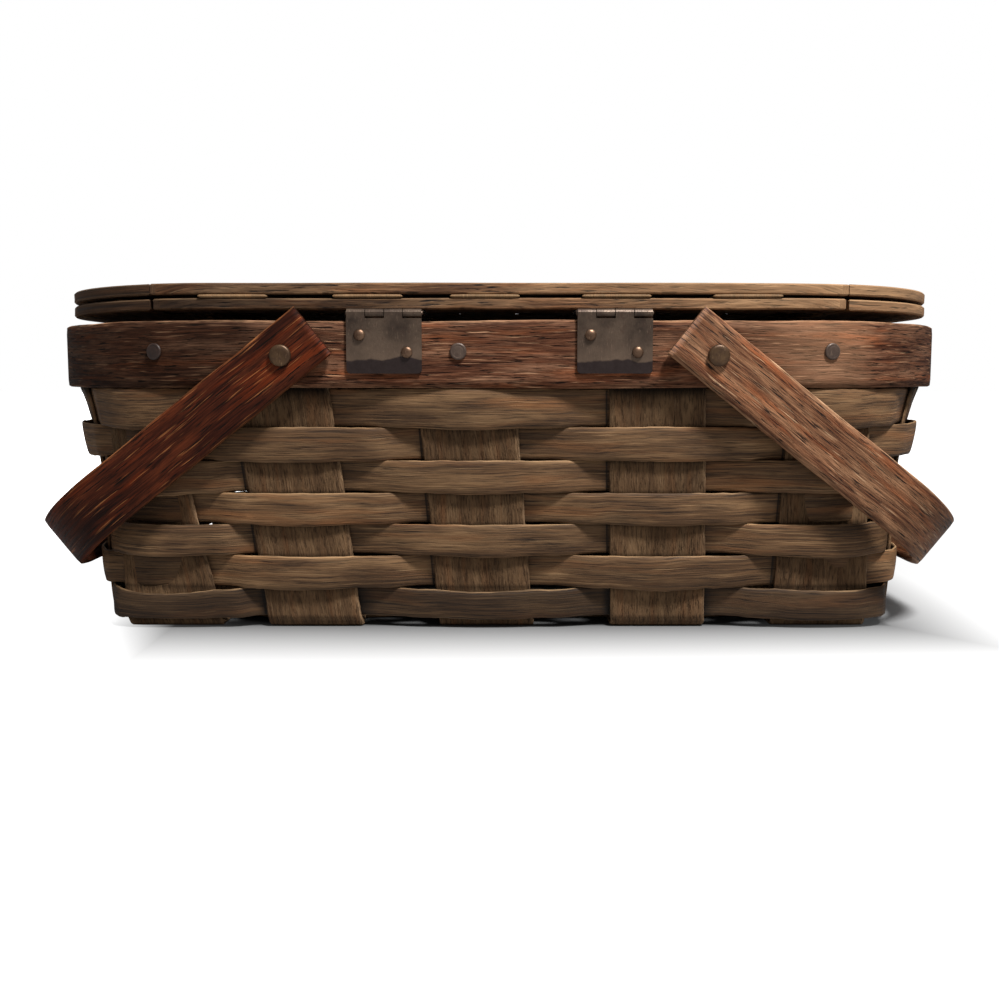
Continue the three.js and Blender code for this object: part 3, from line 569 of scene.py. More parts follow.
def stake_stations(stake, index, along_x, crossings, is_up):
    first, last = (3, 1) if along_x else (0, 2)
    foot = wall_outline(STAKE_THICKNESS / 2 + FOLD_RADIUS)
    end = foot[0] if along_x else foot[1]
    down = STAKE_THICKNESS / 2
    up = down + STAKE_THICKNESS + WEAVE_GAP
    half = STAKE_WIDTH / 2
    seed = index + 1
    stations = []
    along = 0.0

    def on_wall(z, side):
        sign = 1 if side < 2 else -1
        middle = upright_distance((*stake, side, sign), z)
        left = half + edge_wander(z, seed + 11 * side)
        right = half + edge_wander(z, seed + 11 * side + 5)
        low = wall_point(z, middle - sign * left, 0)
        high = wall_point(z, middle + sign * right, 0)
        return low, high, wall_normal(z, middle)

    def flat(run, height, out_run, out_z):
        left = stake[0] - half - edge_wander(run, seed + 3)
        right = stake[0] + half + edge_wander(run, seed + 4)
        if along_x:
            return Vector((run, left, height)), Vector((run, right, height)), Vector((out_run, 0, out_z))
        return Vector((left, run, height)), Vector((right, run, height)), Vector((0, out_run, out_z))

    rise = wall_levels()[1] - wall_levels()[0]
    for z in reversed(wall_levels()):
        stations.append(stake_station(*on_wall(z, first), along, stake_painted_shade(z)))
        along += rise
    # Painted shade on the folds (0.45) and on the bottom under the basket (0.4).
    for sign in (-1, 1):
        fold = []
        for i in range(1, 6):
            angle = math.pi / 2 * i / 5
            run = sign * (end - FOLD_RADIUS + FOLD_RADIUS * math.cos(angle))
            height = down + FOLD_RADIUS - FOLD_RADIUS * math.sin(angle)
            fold.append((run, height, sign * math.cos(angle), -math.sin(angle)))
        if sign < 0:
            for values in fold:
                stations.append(stake_station(*flat(*values), along, 0.45))
                along += 0.0013
            begin = fold[-1][0]
            keys = [(begin, down)]
            for i, place in enumerate(crossings):
                level = up if is_up(i) else down
                keys.append((place - half - 0.001, level))
                keys.append((place + half + 0.001, level))
            keys.append((-begin, down))
            for (run0, level0), (run1, level1) in zip(keys, keys[1:]):
                steps = max(2, round((run1 - run0) / 0.008))
                for i in range(1, steps + 1):
                    t = i / steps
                    run = lerp(run0, run1, t)
                    height = lerp(level0, level1, smooth(t))
                    if abs(run) < -begin - 1e-5:
                        stations.append(stake_station(*flat(run, height, 0, -1), along, 0.4))
                        along += (run1 - run0) / steps
        else:
            for values in reversed(fold):
                stations.append(stake_station(*flat(*values), along, 0.45))
                along += 0.0013
    for z in wall_levels():
        stations.append(stake_station(*on_wall(z, last), along, stake_painted_shade(z)))
        along += rise
    return stations


cross_places = [stake[0] for stake in cross_stakes]
long_places = [stake[0] for stake in long_stakes]
for i, stake in enumerate(cross_stakes):
    name = f"cross_stake_{i + 1}"
    stations = stake_stations(stake, i, False, long_places, lambda j, i=i: (i + j) % 2 == 1)
    mesh = splint_mesh(f"{name}_splint", stations, STAKE_THICKNESS, False, i * 1.7, 0.03, 8)
    new_object(f"{name}_splint", mesh, "basket", [name], stake_wood)
for j, stake in enumerate(long_stakes):
    name = f"long_stake_{j + 1}"
    stations = stake_stations(stake, j + 5, True, cross_places, lambda i, j=j: (i + j) % 2 == 0)
    mesh = splint_mesh(f"{name}_splint", stations, STAKE_THICKNESS, False, 20 + j * 1.7, 0.03, 8)
    new_object(f"{name}_splint", mesh, "basket", [name], stake_wood)


# Weavers
WEAVER_BOW = 0.0017
SLOT_SHADOW_WIDTH = 0.0015
# Painted shade for each row, darkest on the bottom row.
ROW_PAINTED_SHADE = [0.0, 0.0, 0.0, 0.04, 0.08, 0.1, 0.7]
ROW_DIP = 0.0014
ROW_RISES = [0.0003, 0.0003, 0.0003, 0.0, -0.0002, -0.0007, -0.0018]


def weaver_stations(row):
    level = len(ROW_EDGES) - 2 - row
    low = ROW_EDGES[level] + ROW_GAP / 2
    high = ROW_EDGES[level + 1] - ROW_GAP / 2
    middle = (low + high) / 2
    whole = 4 * quarter_length(wall_outline(middle))
    half = STAKE_WIDTH / 2
    middles = [upright_distance(upright, middle) for upright in uprights]
    lows = [upright_distance(upright, low) for upright in uprights]
    highs = [upright_distance(upright, high) for upright in uprights]
    stations = []
    count = len(uprights)
    for j in range(count):
        k = (j + 1) % count
        lap = whole if k == 0 else 0
        outside = (j + row) % 2 == 0
        side = 1 if outside else -1
        steps = 12
        for i in range(steps):
            v = -1 + 2 * i / steps
            stations.append((j, v * half, side, 1 - v * v, None, middles[j] + v * half))
        gap = middles[k] + lap - middles[j] - 2 * half
        steps = max(6, round(gap / FINE_STEP))
        places = [i / steps for i in range(steps)]
        places += [1 - 1.3 * SLOT_SHADOW_WIDTH / gap, 1 - SLOT_SHADOW_WIDTH / gap]
        for t in places:
            stations.append((j, half + gap * t, side, 0, t, middles[j] + half + gap * t))
    result = []
    whole_low = 4 * quarter_length(wall_outline(low))
    whole_high = 4 * quarter_length(wall_outline(high))
    for j, shift, side, bow, t, s in stations:
        k = (j + 1) % count
        if t is None:
            place_low = lows[j] + shift
            place_high = highs[j] + shift
            offset = side * PASS_OFFSET
            swell = bow if side > 0 else 0
        else:
            start_low = lows[j] + half
            start_high = highs[j] + half
            lap_low = whole_low if k == 0 else 0
            lap_high = whole_high if k == 0 else 0
            place_low = lerp(start_low, lows[k] + lap_low - half, t)
            place_high = lerp(start_high, highs[k] + lap_high - half, t)
            # a weaver dives late behind the next upright and comes up gently after it
            turn = smooth((t - 0.28) / 0.72) if side > 0 else smooth(t / 0.92)
            offset = side * PASS_OFFSET * (1 - 2 * turn)
            swell = 0
        # the part that shows runs from one inside pass to the next
        shown = offset / PASS_OFFSET
        lens = smooth((shown + 0.2) / 1.2) * (0.45 + 0.55 * swell)
        odd = wander(s, row + 3, 14)
        offset += WEAVER_BOW * swell * (0.8 + 0.35 * odd)
        dip = ROW_DIP * lens * (1 + 0.6 * odd)
        rise = ROW_RISES[row] * lens * (1 - 0.8 * odd)
        z_low = low - dip + 0.00022 * wander(s, row + 21, 500)
        z_high = high + rise + 0.00022 * wander(s, row + 31, 500)
        out = wall_normal(middle, s)
        low_point = wall_point(low, place_low, offset)
        high_point = wall_point(high, place_high, offset)
        rising = (high_point - low_point) / (high - low)
        low_edge = low_point + rising * (z_low - low)
        high_edge = high_point + rising * (z_high - high)
        # Painted shade where the weaver lies behind an upright, plus the row's painted shade.
        shade = 0.3 * (1 - smooth((shown + 1) / 0.15)) + ROW_PAINTED_SHADE[row]
        # Painted shadow: a dark line where the weaver reaches the next upright's edge.
        if t is not None and side > 0:
            left = (1 - t) * (middles[k] + (whole if k == 0 else 0) - middles[j] - 2 * half)
            shade = max(shade, smooth((1.3 - left / SLOT_SHADOW_WIDTH) / 0.3))
        result.append((low_edge, high_edge, out, s, 0.0005 * max(shown, 0), shade))
    # the hoop's lap lies behind an upright of the opening side
    start = middles[10 + row % 2]
    lapped = [station for station in result if station[3] >= start]
    before = [(low, high, out, s - whole, cup, shade) for low, high, out, s, cup, shade in lapped]
    return before + result[:len(result) - len(lapped)]


for row in range(len(ROW_EDGES) - 1):
    name = f"weaver_{row + 1}"
    mesh = splint_mesh(f"{name}_splint", weaver_stations(row), WEAVER_THICKNESS, True, 40 + row * 2.3, 0.07)
    new_object(f"{name}_splint", mesh, "basket", [name], weaver_wood)


# Rim bands
BAND_LEFT_DARKENING = 0.66
BAND_RIGHT_PALING = 0.36
BAND_END_DARKENING = 0.42


def band_shade(s):
    """Darkest near the left end of the hinge side, paler toward the right end and darker again at its far
    right.
    """
    dark = BAND_LEFT_DARKENING * smooth((-s - 0.08) / 0.06) * (1 - smooth((-s - 0.36) / 0.1))
    pale = BAND_RIGHT_PALING * smooth((s - 0.1) / 0.06) * (1 - smooth((s - 0.165) / 0.045))
    end = BAND_END_DARKENING * smooth((s - 0.18) / 0.045) * (1 - smooth((s - 0.36) / 0.1))
    return dark - pale + end


def band_stations(outer_offset, thickness, seed):
    outline = grown(RIM_MIDDLE, outer_offset - thickness / 2)
    whole = 4 * quarter_length(outline)
    count = round(whole / FINE_STEP)
    stations = []
    for i in range(count):
        s = whole * (i / count - 0.5)
        x, y, nx, ny = outline_point(outline, s)
        top = RIM_TOP - 0.0002 + 0.00035 * wander(s, seed, 22) + 0.0001 * wander(s, seed, 600)
        bottom = WALL_TOP + 0.0002 + 0.0003 * wander(s, seed + 9, 18)
        low, high, out = Vector((x, y, bottom)), Vector((x, y, top)), Vector((nx, ny, 0))
        stations.append((low, high, out, s, 0.0, band_shade(s)))
    return stations


outer_band = splint_mesh(
    "rim_outer_band_wood", band_stations(BAND_CLEAR + BAND_THICKNESS, BAND_THICKNESS, 61),
    BAND_THICKNESS, True, 61, 0.04,
)
new_object("rim_outer_band_wood", outer_band, "basket", ["rim_outer_band"], band_wood)
inner_band = splint_mesh(
    "rim_inner_band_wood", band_stations(-BAND_CLEAR, INNER_BAND_THICKNESS, 63),
    INNER_BAND_THICKNESS, True, 63, 0.04,
)
new_object("rim_inner_band_wood", inner_band, "basket", ["rim_inner_band"], band_wood)


# Handles
HANDLE_END_SHADE = 0.6
HANDLE_BAR_PAINTED_SHADE = 0.32


def handle_stations(seed):
    outer_y = RIM_DEPTH / 2 + HANDLE_STAND_OFF + HANDLE_THICKNESS
    middle_y = outer_y - HANDLE_THICKNESS / 2
    bend = HANDLE_REACH - HANDLE_BEND
    radius = HANDLE_BEND - HANDLE_THICKNESS / 2
    path = []
    leg_steps = 40
    for i in range(leg_steps + 1):
        path.append((lerp(-HANDLE_STUB, bend, i / leg_steps), -middle_y, 0.0, -1.0))
    arc_steps = 16
    for i in range(1, arc_steps + 1):
        angle = math.pi / 2 * i / arc_steps
        out_run, out_y = math.sin(angle), -math.cos(angle)
        path.append((bend + radius * out_run, -middle_y + radius + radius * out_y, out_run, out_y))
    bar_steps = 36
    top = -middle_y + radius
    for i in range(1, bar_steps):
        path.append((bend + radius, lerp(top, -top, i / bar_steps), 1.0, 0.0))
    first_half = path[:leg_steps + arc_steps + 1]
    path += [(run, -y, out_run, -out_y) for run, y, out_run, out_y in reversed(first_half)]
    along_axis = Vector((math.cos(HANDLE_REST), 0, -math.sin(HANDLE_REST)))
    across_axis = Vector((math.sin(HANDLE_REST), 0, math.cos(HANDLE_REST)))
    pivot = Vector((PIVOT_PLACE, 0, PIVOT_HEIGHT))
    stations = []
    along = 0.0
    before = None
    for run, y, out_run, out_y in path:
        centre = pivot + along_axis * run + Vector((0, y, 0))
        if before is not None:
            along += (centre - before).length
        before = centre
        out = along_axis * out_run + Vector((0, out_y, 0))
        low = HANDLE_WIDTH / 2 - 0.0002 + 0.00025 * wander(along, seed, 40)
        high = HANDLE_WIDTH / 2 - 0.0002 + 0.00025 * wander(along, seed + 7, 40)
        # Painted shade: darker from partway down the leg onto the bar.
        shade = HANDLE_BAR_PAINTED_SHADE * smooth((run - 0.055) / 0.09)
        stations.append((centre - across_axis * low, centre + across_axis * high, out, along, 0.0, shade))
    return stations


def mirrored(stations):
    """The same stations turned half a turn about the upright axis."""
    turn = Vector((-1, -1, 1))
    return [(low * turn, high * turn, out * turn, *rest) for low, high, out, *rest in stations]


handle_looks = (("handle_left", 71, left_handle_wood), ("handle_right", 77, right_handle_wood))
for name, seed, handle_wood in handle_looks:
    stations = handle_stations(seed)
    if name == "handle_left":
        stations = mirrored(stations)
    first = (*stations[0][:5], HANDLE_END_SHADE)
    last = (*stations[-1][:5], HANDLE_END_SHADE)
    stations = [first] + stations + [last]
    mesh = splint_mesh(f"{name}_wood", stations, HANDLE_THICKNESS, False, seed, 0.04)
    new_object(f"{name}_wood", mesh, name, [name], handle_wood)


# Lid frames
BOARD_EDGE = 0.0007
lid_hinge_edge = BARREL_Y + LID_HINGE_INSET
lid_front_edge = RIM_DEPTH / 2 - LID_FRONT_INSET
LID_MIDDLE = (lid_hinge_edge + lid_front_edge) / 2
LID_A = RIM_LENGTH / 2 - LID_END_INSET
LID_B = (lid_front_edge - lid_hinge_edge) / 2
CORNER_X = LID_A - LID_CORNER
CORNER_Y = LID_B - LID_CORNER
BOARD_INNER = LID_A - END_BOARD_WIDTH


def corner_points(start, stop, steps):
    points = []
    for i in range(steps + 1):
        angle = lerp(start, stop, i / steps)
        x = CORNER_X + LID_CORNER * math.sin(angle)
        points.append((x, -CORNER_Y - LID_CORNER * math.cos(angle)))
    return points


def straight_points(start, stop, step):
    """Points from start up to, not including, stop."""
    length = math.hypot(stop[0] - start[0], stop[1] - start[1])
    count = max(1, round(length / step))
    return [(lerp(start[0], stop[0], i / count), lerp(start[1], stop[1], i / count)) for i in range(count)]


def end_board_outline(end):
    start = math.asin((BOARD_INNER - CORNER_X) / LID_CORNER)
    near = corner_points(start, math.pi / 2, 26)
    far = [(x, -y) for x, y in reversed(near)]
    points = near[:-1] + straight_points(near[-1], far[0], 0.006) + far[:-1]
    points += straight_points(far[-1], near[0], 0.006)
    return points if end > 0 else [(-x, y) for x, y in reversed(points)]


def rail_outline(side, gap):
    reach = BOARD_INNER - gap
    right = corner_points(0, math.asin((reach - CORNER_X) / LID_CORNER), 10)
    left = [(-x, y) for x, y in reversed(right)]
    inner = -LID_B + RAIL_WIDTH
    points = left[:-1] + straight_points(left[-1], right[0], 0.006) + right[:-1]
    points += straight_points(right[-1], (reach, inner), 0.006)
    points += straight_points((reach, inner), (-reach, inner), 0.006)
    points += straight_points((-reach, inner), left[0], 0.006)
    return points if side < 0 else [(x, -y) for x, y in reversed(points)]


UPPER_RAIL_SHADES = (0.55, -0.6)
LOWER_RAIL_SHADES = (0.85, -0.42)
LEFT_BOARD_SHADE = 0.72
RIGHT_BOARD_SHADE = -0.3


def lid_shade(name, x, y):
    """The lid's hinge edge is darker at its left end and paler toward the right."""
    left, right = UPPER_RAIL_SHADES if "upper" in name else LOWER_RAIL_SHADES
    if "left" in name:
        left = right = LEFT_BOARD_SHADE
    elif "right" in name:
        left = right = RIGHT_BOARD_SHADE
    share = smooth((x / RIM_LENGTH + 0.37) / 0.74)
    return lerp(left, right, share) * smooth((-y - 0.05) / 0.05)


def board_mesh(name, outline, base, thickness, grain_along_y, seed):
    """A sawn board: eased edges, slightly uneven faces, grain along X or along Y."""
    count = len(outline)
    points = []
    grain = []
    wear_and_shade = []
    levels = [
        (BOARD_EDGE, 0.0), (0.0, BOARD_EDGE), (0.0, thickness / 2),
        (0.0, thickness - BOARD_EDGE), (BOARD_EDGE, thickness),
    ]
    inner_levels = [(0.004, thickness), (0.004, 0.0)]
    normals = []
    for i in range(count):
        x0, y0 = outline[i - 1]
        x1, y1 = outline[(i + 1) % count]
        length = math.hypot(x1 - x0, y1 - y0)
        normals.append(((y1 - y0) / length, -(x1 - x0) / length))
    faces = []
    rings = levels + inner_levels
    for level, (inset, height) in enumerate(rings):
        for i, (x, y) in enumerate(outline):
            nx, ny = normals[i]
            rough = 0.00018 * wander(i * 0.37, seed + level, 1.0) if 0 < level < 4 else 0.0
            px = x - nx * (inset - rough)
            py = y - ny * (inset - rough)
            along = py if grain_along_y else px
            across = px if grain_along_y else py
            uneven = 0.00025 * wander(along, seed, 9)
            points.append(Vector((px, py + LID_MIDDLE, base + height + uneven)))
            cut_across = abs(ny) if grain_along_y else abs(nx)
            if cut_across > 0.5 and 0 < level < 4:
                grain.append((0.4 * (along + across), 0.7 * height, seed))
            else:
                grain.append((along, across + height, seed))
            edge = 1.0 if level in (0, 1, 3, 4) else 0.0
            rim = 1.0 if level < len(levels) else 0.25
            wear_and_shade.append((edge, rim * lid_shade(name, px, py), 1))
    for level in range(len(rings) - 1):
        for i in range(count):
            j = (i + 1) % count
            here, above = level * count, (level + 1) * count
            faces.append((here + i, here + j, above + j, above + i))
    top = levels.index((BOARD_EDGE, thickness)) + 1
    bottom = len(rings) - 1
    for i in range(count):
        j = (i + 1) % count
        faces.append((bottom * count + i, bottom * count + j, j, i))
    mesh = bpy.data.meshes.new(name)
    work = bmesh.new()
    corners = [work.verts.new(p) for p in points]
    for face in faces:
        if face[0] // count == top and face[2] // count == bottom:
            continue
        work.faces.new([corners[k] for k in face])
    work.verts.index_update()
    for ring in (top, bottom):
        edges = []
        for i in range(count):
            pair = (corners[ring * count + i], corners[ring * count + (i + 1) % count])
            edges.append(work.edges.get(pair) or work.edges.new(pair))
        bmesh.ops.triangle_fill(work, edges=edges, use_beauty=True)
    bmesh.ops.recalc_face_normals(work, faces=work.faces)
    work.to_mesh(mesh)
    work.free()
    for attribute, rows in (("grain", grain), ("wear_and_shade", wear_and_shade)):
        layer = mesh.attributes.new(attribute, "FLOAT_VECTOR", "POINT")
        layer.data.foreach_set("vector", [value for row in rows for value in row])
    mesh.polygons.foreach_set("use_smooth", [False] * len(mesh.polygons))
    return mesh


lid_layers = (
    ("lower", LID_UNDERSIDE, LOWER_BUTT_GAP, 81),
    ("upper", LID_UNDERSIDE + FRAME_THICKNESS + LAYER_GAP, UPPER_BUTT_GAP, 91),
)
for layer, base, gap, seed in lid_layers:
    boards = (
        ("left_board", end_board_outline(-1), True),
        ("right_board", end_board_outline(1), True),
        ("front_rail", rail_outline(1, gap), False),
        ("hinge_rail", rail_outline(-1, gap), False),
    )
    for k, (part, outline, along_y) in enumerate(boards):
        name = f"lid_{layer}_{part}"
        mesh = board_mesh(f"{name}_wood", outline, base, FRAME_THICKNESS, along_y, seed + k)
        new_object(f"{name}_wood", mesh, "lid", [name], lid_wood)


# Lid panel
CROSS_SPLINTS = [share * BOARD_INNER for share in CROSS_SPLINT_SHARES]
LONG_SPLINT_PITCH = 2 * (LID_B - RAIL_WIDTH) / LONG_SPLINTS
LONG_SPLINT_WIDTH = LONG_SPLINT_PITCH + LONG_SPLINT_LAP


def panel_stations(centre, width, along_x, ends, edges, crossings, half, is_up, seed):
    height = LID_UNDERSIDE + FRAME_THICKNESS + LAYER_GAP / 2
    keys = [(ends[0], height), (edges[0], height)]
    for i, place in enumerate(crossings):
        level = height + (SPLINT_RISE if is_up(i) else -SPLINT_RISE)
        keys.append((place - half, level))
        keys.append((place + half, level))
    keys += [(edges[1], height), (ends[1], height)]
    runs = [(keys[0][0], keys[0][1])]
    for (run0, level0), (run1, level1) in zip(keys, keys[1:]):
        steps = max(3, round((run1 - run0) / 0.006))
        for i in range(1, steps + 1):
            runs.append((lerp(run0, run1, i / steps), lerp(level0, level1, smooth(i / steps))))
    stations = []
    for run, z in runs:
        left = centre - width / 2 - 0.0003 * wander(run, seed, 120)
        right = centre + width / 2 + 0.0003 * wander(run, seed + 3, 120)
        low = Vector((run, left, z)) if along_x else Vector((left, run, z))
        high = Vector((run, right, z)) if along_x else Vector((right, run, z))
        from_end = (ends[1] - ends[0]) / 2 - abs(run - (ends[0] + ends[1]) / 2)
        shade = 0.1 - 0.6 * smooth((0.003 - from_end) / 0.002)
        stations.append((low, high, Vector((0, 0, 1)), run, 0.0, shade))
    return stations


long_centres = [LID_MIDDLE + LONG_SPLINT_PITCH * (j - (LONG_SPLINTS - 1) / 2) for j in range(LONG_SPLINTS)]
cross_ends = (lid_hinge_edge - SPLINT_SHOWS, lid_front_edge + SPLINT_SHOWS)
cross_edges = (lid_hinge_edge + RAIL_WIDTH, lid_front_edge - RAIL_WIDTH)
long_ends = (-BOARD_INNER - SPLINT_TUCK, BOARD_INNER + SPLINT_TUCK)
long_edges = (-BOARD_INNER, BOARD_INNER)
for i, place in enumerate(CROSS_SPLINTS):
    name = f"lid_cross_splint_{i + 1}"
    half = LONG_SPLINT_PITCH / 2 - 0.0003
    stations = panel_stations(
        place, CROSS_SPLINT_WIDTH, False, cross_ends, cross_edges, long_centres, half,
        lambda j, i=i: (i + j) % 2 == 0, 101 + i,
    )
    mesh = splint_mesh(f"{name}_wood", stations, SPLINT_SHOWN_THICKNESS, False, 101 + i, 0.05, 6)
    new_object(f"{name}_wood", mesh, "lid", [name], weaver_wood)
for j, place in enumerate(long_centres):
    name = f"lid_long_splint_{j + 1}"
    half = CROSS_SPLINT_WIDTH / 2 + 0.0003
    stations = panel_stations(
        place, LONG_SPLINT_WIDTH, True, long_ends, long_edges, CROSS_SPLINTS, half,
        lambda i, j=j: (i + j) % 2 == 1, 111 + j,
    )
    mesh = splint_mesh(f"{name}_wood", stations, SPLINT_SHOWN_THICKNESS, False, 111 + j, 0.05, 6)
    new_object(f"{name}_wood", mesh, "lid", [name], weaver_wood)


# Nails, rivets and pins
def dome(radius, base, height, steps=7):
    rows = []
    for i in range(steps):
        angle = math.pi / 2 * i / steps
        rows.append((radius * math.cos(angle), base + height * math.sin(angle)))
    return rows + [(0, base + height)]


def ringed_head(radius, base, height):
    """A flat head with a soft shoulder and a shallow ring near its edge."""
    shares = [(1, 0), (1, 0.4), (0.95, 0.72), (0.84, 0.92), (0.76, 0.96), (0.7, 0.8), (0.62, 0.94), (0.4, 1)]
    return [(radius * r, base + height * h) for r, h in shares] + [(0, base + height)]


def turned_piece(name, rows, place, facing, body, material):
    mesh = turned_mesh(f"{name}_turned", rows)
    turn = Vector((0, 0, 1)).rotation_difference(Vector(facing)).to_matrix().to_4x4()
    mesh.transform(Matrix.Translation(Vector(place)) @ turn)
    new_object(f"{name}_turned", mesh, body, [name], material)


def shank(radius, low, high):
    return [(0, low), (radius, low), (radius, high)]


def nail_distance(x):
    a, _, r = BAND_OUTER
    beyond = max(abs(x) - (a - r), 0)
    return math.copysign(min(abs(x), a - r) + r * math.asin(beyond / r), x)


nail_rows = shank(NAIL_SHANK, -BAND_THICKNESS, NAIL_SEAT)
nail_rows += ringed_head(NAIL_HEAD_RADIUS, NAIL_SEAT, NAIL_HEAD_HEIGHT)
nail_number = 0
for side, shares in ((-1, BACK_NAIL_SHARES), (1, FRONT_NAIL_SHARES)):
    for share in shares:
        nail_number += 1
        x, y, nx, ny = outline_point(BAND_OUTER, nail_distance(share * RIM_LENGTH / 2))
        place, facing = (x, -side * y, NAIL_HEIGHT), (nx, -side * ny, 0)
        finish = grey_iron if nail_number in (2, 3) else nail_iron
        turned_piece(f"rim_nail_{nail_number}", nail_rows, place, facing, "basket", finish)

for i, centre in enumerate((-HINGE_PLACE, HINGE_PLACE)):
    hinge = f"hinge_{i + 1}"
    seat = LEAF_OUTER + PART_GAP
    rows = shank(RIVET_SHANK, -BAND_THICKNESS, seat) + dome(RIVET_RADIUS, seat, RIVET_HEIGHT)
    for j, (share, drop) in enumerate(LOWER_RIVET_SHARES):
        place = (centre + share * HINGE_WIDTH, -RIM_DEPTH / 2, RIM_TOP - drop * LEAF_DROP)
        turned_piece(f"{hinge}_lower_rivet_{j + 1}", rows, place, (0, -1, 0), "basket", rivet_iron)
    base = LEAF_THICKNESS + PART_GAP - BARREL_RADIUS
    rows = shank(RIVET_SHANK, base - LEAF_THICKNESS - UPPER_RIVET_LENGTH, base)
    rows += dome(RIVET_RADIUS, base, RIVET_HEIGHT)
    for j, (share, reach) in enumerate(UPPER_RIVET_SHARES):
        place = (centre + share * HINGE_WIDTH, BARREL_Y + reach * UPPER_LEAF_REACH, BARREL_HEIGHT)
        turned_piece(f"{hinge}_upper_rivet_{j + 1}", rows, place, (0, 0, -1), "lid", rivet_iron)
    half = HINGE_WIDTH / 2 + PIN_OVERHANG
    end = PIN_RADIUS - PIN_OVERHANG / 2
    rows = [(0, -half), (end, -half), (PIN_RADIUS, PIN_OVERHANG / 2 - half)]
    rows += [(radius, -height) for radius, height in reversed(rows)]
    place = (centre, BARREL_Y, BARREL_HEIGHT)
    turned_piece(f"{hinge}_pin", rows, place, (1, 0, 0), "basket", dark_iron)

inner_face = -(2 * BAND_CLEAR + BAND_THICKNESS + INNER_BAND_THICKNESS)
burr_top = inner_face - PART_GAP
collar_top = HANDLE_STAND_OFF - PART_GAP
head_base = HANDLE_STAND_OFF + HANDLE_THICKNESS + PART_GAP
pivot_rows = [(0, burr_top - PIVOT_BURR_HEIGHT), (PIVOT_BURR_RADIUS * 0.8, burr_top - PIVOT_BURR_HEIGHT)]
pivot_rows += [(PIVOT_BURR_RADIUS, burr_top - PIVOT_BURR_HEIGHT / 2), (PIVOT_BURR_RADIUS, burr_top)]
pivot_rows += [(PIVOT_SHANK, burr_top), (PIVOT_SHANK, PART_GAP), (PIVOT_COLLAR_RADIUS, PART_GAP)]
pivot_rows += [(PIVOT_COLLAR_RADIUS, collar_top), (PIVOT_SHANK, collar_top), (PIVOT_SHANK, head_base)]
head_shares = [(1, 0), (1, 0.5), (0.94, 0.78), (0.82, 0.93), (0.6, 1), (0.3, 0.97)]
pivot_rows += [(PIVOT_HEAD_RADIUS * r, head_base + PIVOT_HEAD_HEIGHT * h) for r, h in head_shares]
pivot_rows += [(0, head_base + PIVOT_HEAD_HEIGHT)]
pivot_number = 0
for end in (-1, 1):
    for side in (-1, 1):
        pivot_number += 1
        place = (end * PIVOT_PLACE, side * RIM_DEPTH / 2, PIVOT_HEIGHT)
        name = f"pivot_rivet_{pivot_number}"
        turned_piece(name, pivot_rows, place, (0, side, 0), "basket", pivot_brass)


# Hinge leaves keep their own bodies, with eased edges
for name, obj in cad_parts.items():
    if obj.hide_render:
        continue
    obj.data.materials.clear()
    obj.data.materials.append(leaf_iron)
    eased = obj.modifiers.new("eased", "BEVEL")
    eased.width = 0.00025
    eased.segments = 2
    eased.angle_limit = math.radians(35)


# Floor, light and camera
WORLD_LIGHT = 0.3
FLOOR_GLOW = 1.0
FLOOR_BOUNCE = 0.34
FLOOR_PAINTED_SHADE_UNDER = 0.06
FLOOR_PAINTED_SHADOW_NEAR = 0.15
FLOOR_FAR = 0.57
PAINTED_SHADOW_RING_END = 1.45
PAINTED_SHADOW_RING_SIDE = 1.6


def grey(value):
    return (value, value, value, 1)


def white_floor():
    """White to the camera, with its shadows, and a duller grey to the light it throws back. For the camera
    it also glows as painted light, more with distance and fully left of the basket, and holds painted shade
    under the basket and a painted shadow ring around it.
    """
    m = Nodes("white_floor")
    path = m.add("ShaderNodeLightPath").outputs["Is Camera Ray"]
    place = m.add("ShaderNodeTexCoord").outputs["Object"]
    shaped = m.stretched(place, 0.62, 1, 0)
    distance = m.add("ShaderNodeVectorMath", {0: shaped}, operation="LENGTH").outputs["Value"]
    # Painted light: for the camera the floor glows, rising with distance from the basket.
    glow = m.between(distance, 0.15, 0.85, 0, FLOOR_GLOW)
    end = m.add("ShaderNodeSeparateXYZ", {0: place}).outputs["X"]
    # Painted light: left of the basket the floor glows fully white, covering the basket's shadow there.
    glow = m.math("ADD", glow, m.between(end, -0.21, -0.17, FLOOR_GLOW, 0))
    # Painted shadow: a darker ring around the basket's footprint.
    spot = m.add("ShaderNodeVectorMath", {0: place}, operation="ABSOLUTE").outputs[0]
    spot = m.add("ShaderNodeSeparateXYZ", {0: m.stretched(spot, 2 / BASE_LENGTH, 2 / BASE_DEPTH, 0)}).outputs
    beside = m.math("SUBTRACT", m.math("MULTIPLY", spot["X"], PAINTED_SHADOW_RING_SIDE), PAINTED_SHADOW_RING_SIDE - 1)
    under = m.math("MAXIMUM", beside, spot["Y"])
    near = m.mix(m.between(under, 1.0, PAINTED_SHADOW_RING_END), grey(FLOOR_PAINTED_SHADOW_NEAR), grey(FLOOR_FAR))
    # Painted shade: nearly black under the basket.
    pale = m.mix(m.between(under, 0.975, 1.0), grey(FLOOR_PAINTED_SHADE_UNDER), near)
    m.set("Base Color", m.mix(path, grey(FLOOR_BOUNCE), pale))
    m.set("Roughness", 0.9)
    m.set("Specular IOR Level", 0.1)
    m.set("Emission Color", (1, 1, 1, 1))
    m.set("Emission Strength", m.math("MULTIPLY", path, glow))
    return m.material


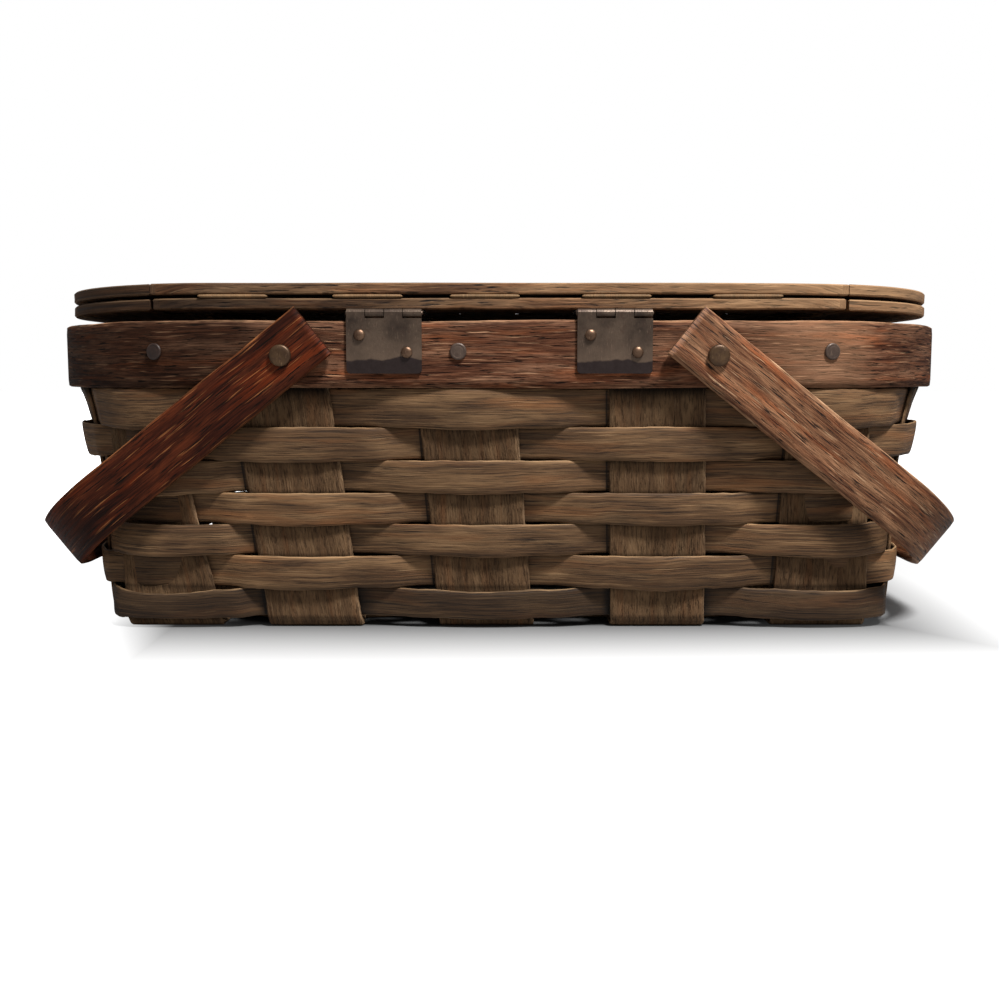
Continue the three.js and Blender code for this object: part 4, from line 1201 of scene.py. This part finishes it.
floor_mesh = bpy.data.meshes.new("floor")
FLOOR_HALF = 6
corners = [(-1, -1), (1, -1), (1, 1), (-1, 1)]
floor_mesh.from_pydata([(x * FLOOR_HALF, y * FLOOR_HALF, 0) for x, y in corners], [], [(0, 1, 2, 3)])
floor = bpy.data.objects.new("floor", floor_mesh)
bpy.context.scene.collection.objects.link(floor)
floor_mesh.materials.append(white_floor())

world = bpy.data.worlds.new("studio")
bpy.context.scene.world = world
world.use_nodes = True
nodes = world.node_tree.nodes
links = world.node_tree.links
background = nodes["Background"]
background.inputs["Color"].default_value = (1, 1, 1, 1)
path = nodes.new("ShaderNodeLightPath")
strength = nodes.new("ShaderNodeMapRange")
links.new(path.outputs["Is Camera Ray"], strength.inputs["Value"])
strength.inputs["To Min"].default_value = WORLD_LIGHT
strength.inputs["To Max"].default_value = 1.0
links.new(strength.outputs[0], background.inputs["Strength"])


def area_lamp(name, place, target, size, power):
    data = bpy.data.lights.new(name, "AREA")
    data.shape = "SQUARE"
    data.size = size
    data.energy = power
    lamp = bpy.data.objects.new(name, data)
    lamp.location = place
    lamp.rotation_euler = (Vector(target) - Vector(place)).to_track_quat("-Z", "Y").to_euler()
    bpy.context.scene.collection.objects.link(lamp)


KEY_PLACE = (0.55, -0.78, 1.6)
KEY_TARGET = (0, -0.12, 0.1)
KEY_SIZE = 0.26
KEY_POWER = 56
area_lamp("key", KEY_PLACE, KEY_TARGET, KEY_SIZE, KEY_POWER)

CAMERA_DISTANCE = 0.475
CAMERA_HEIGHT = 0.1315
CAMERA_PITCH = math.radians(4.9)
CAMERA_SENSOR = 36
CAMERA_LENS = 34.2
CAMERA_SHIFT = -0.045
camera_data = bpy.data.cameras.new("camera")
camera_data.sensor_width = CAMERA_SENSOR
camera_data.lens = CAMERA_LENS
camera_data.shift_y = CAMERA_SHIFT
camera_data.clip_start = 0.01
camera = bpy.data.objects.new("camera", camera_data)
camera.location = (0, -RIM_DEPTH / 2 - CAMERA_DISTANCE, CAMERA_HEIGHT)
camera.rotation_euler = (math.pi / 2 - CAMERA_PITCH, 0, 0)
bpy.context.scene.collection.objects.link(camera)
bpy.context.scene.camera = camera
bpy.context.scene.view_settings.view_transform = "Standard"
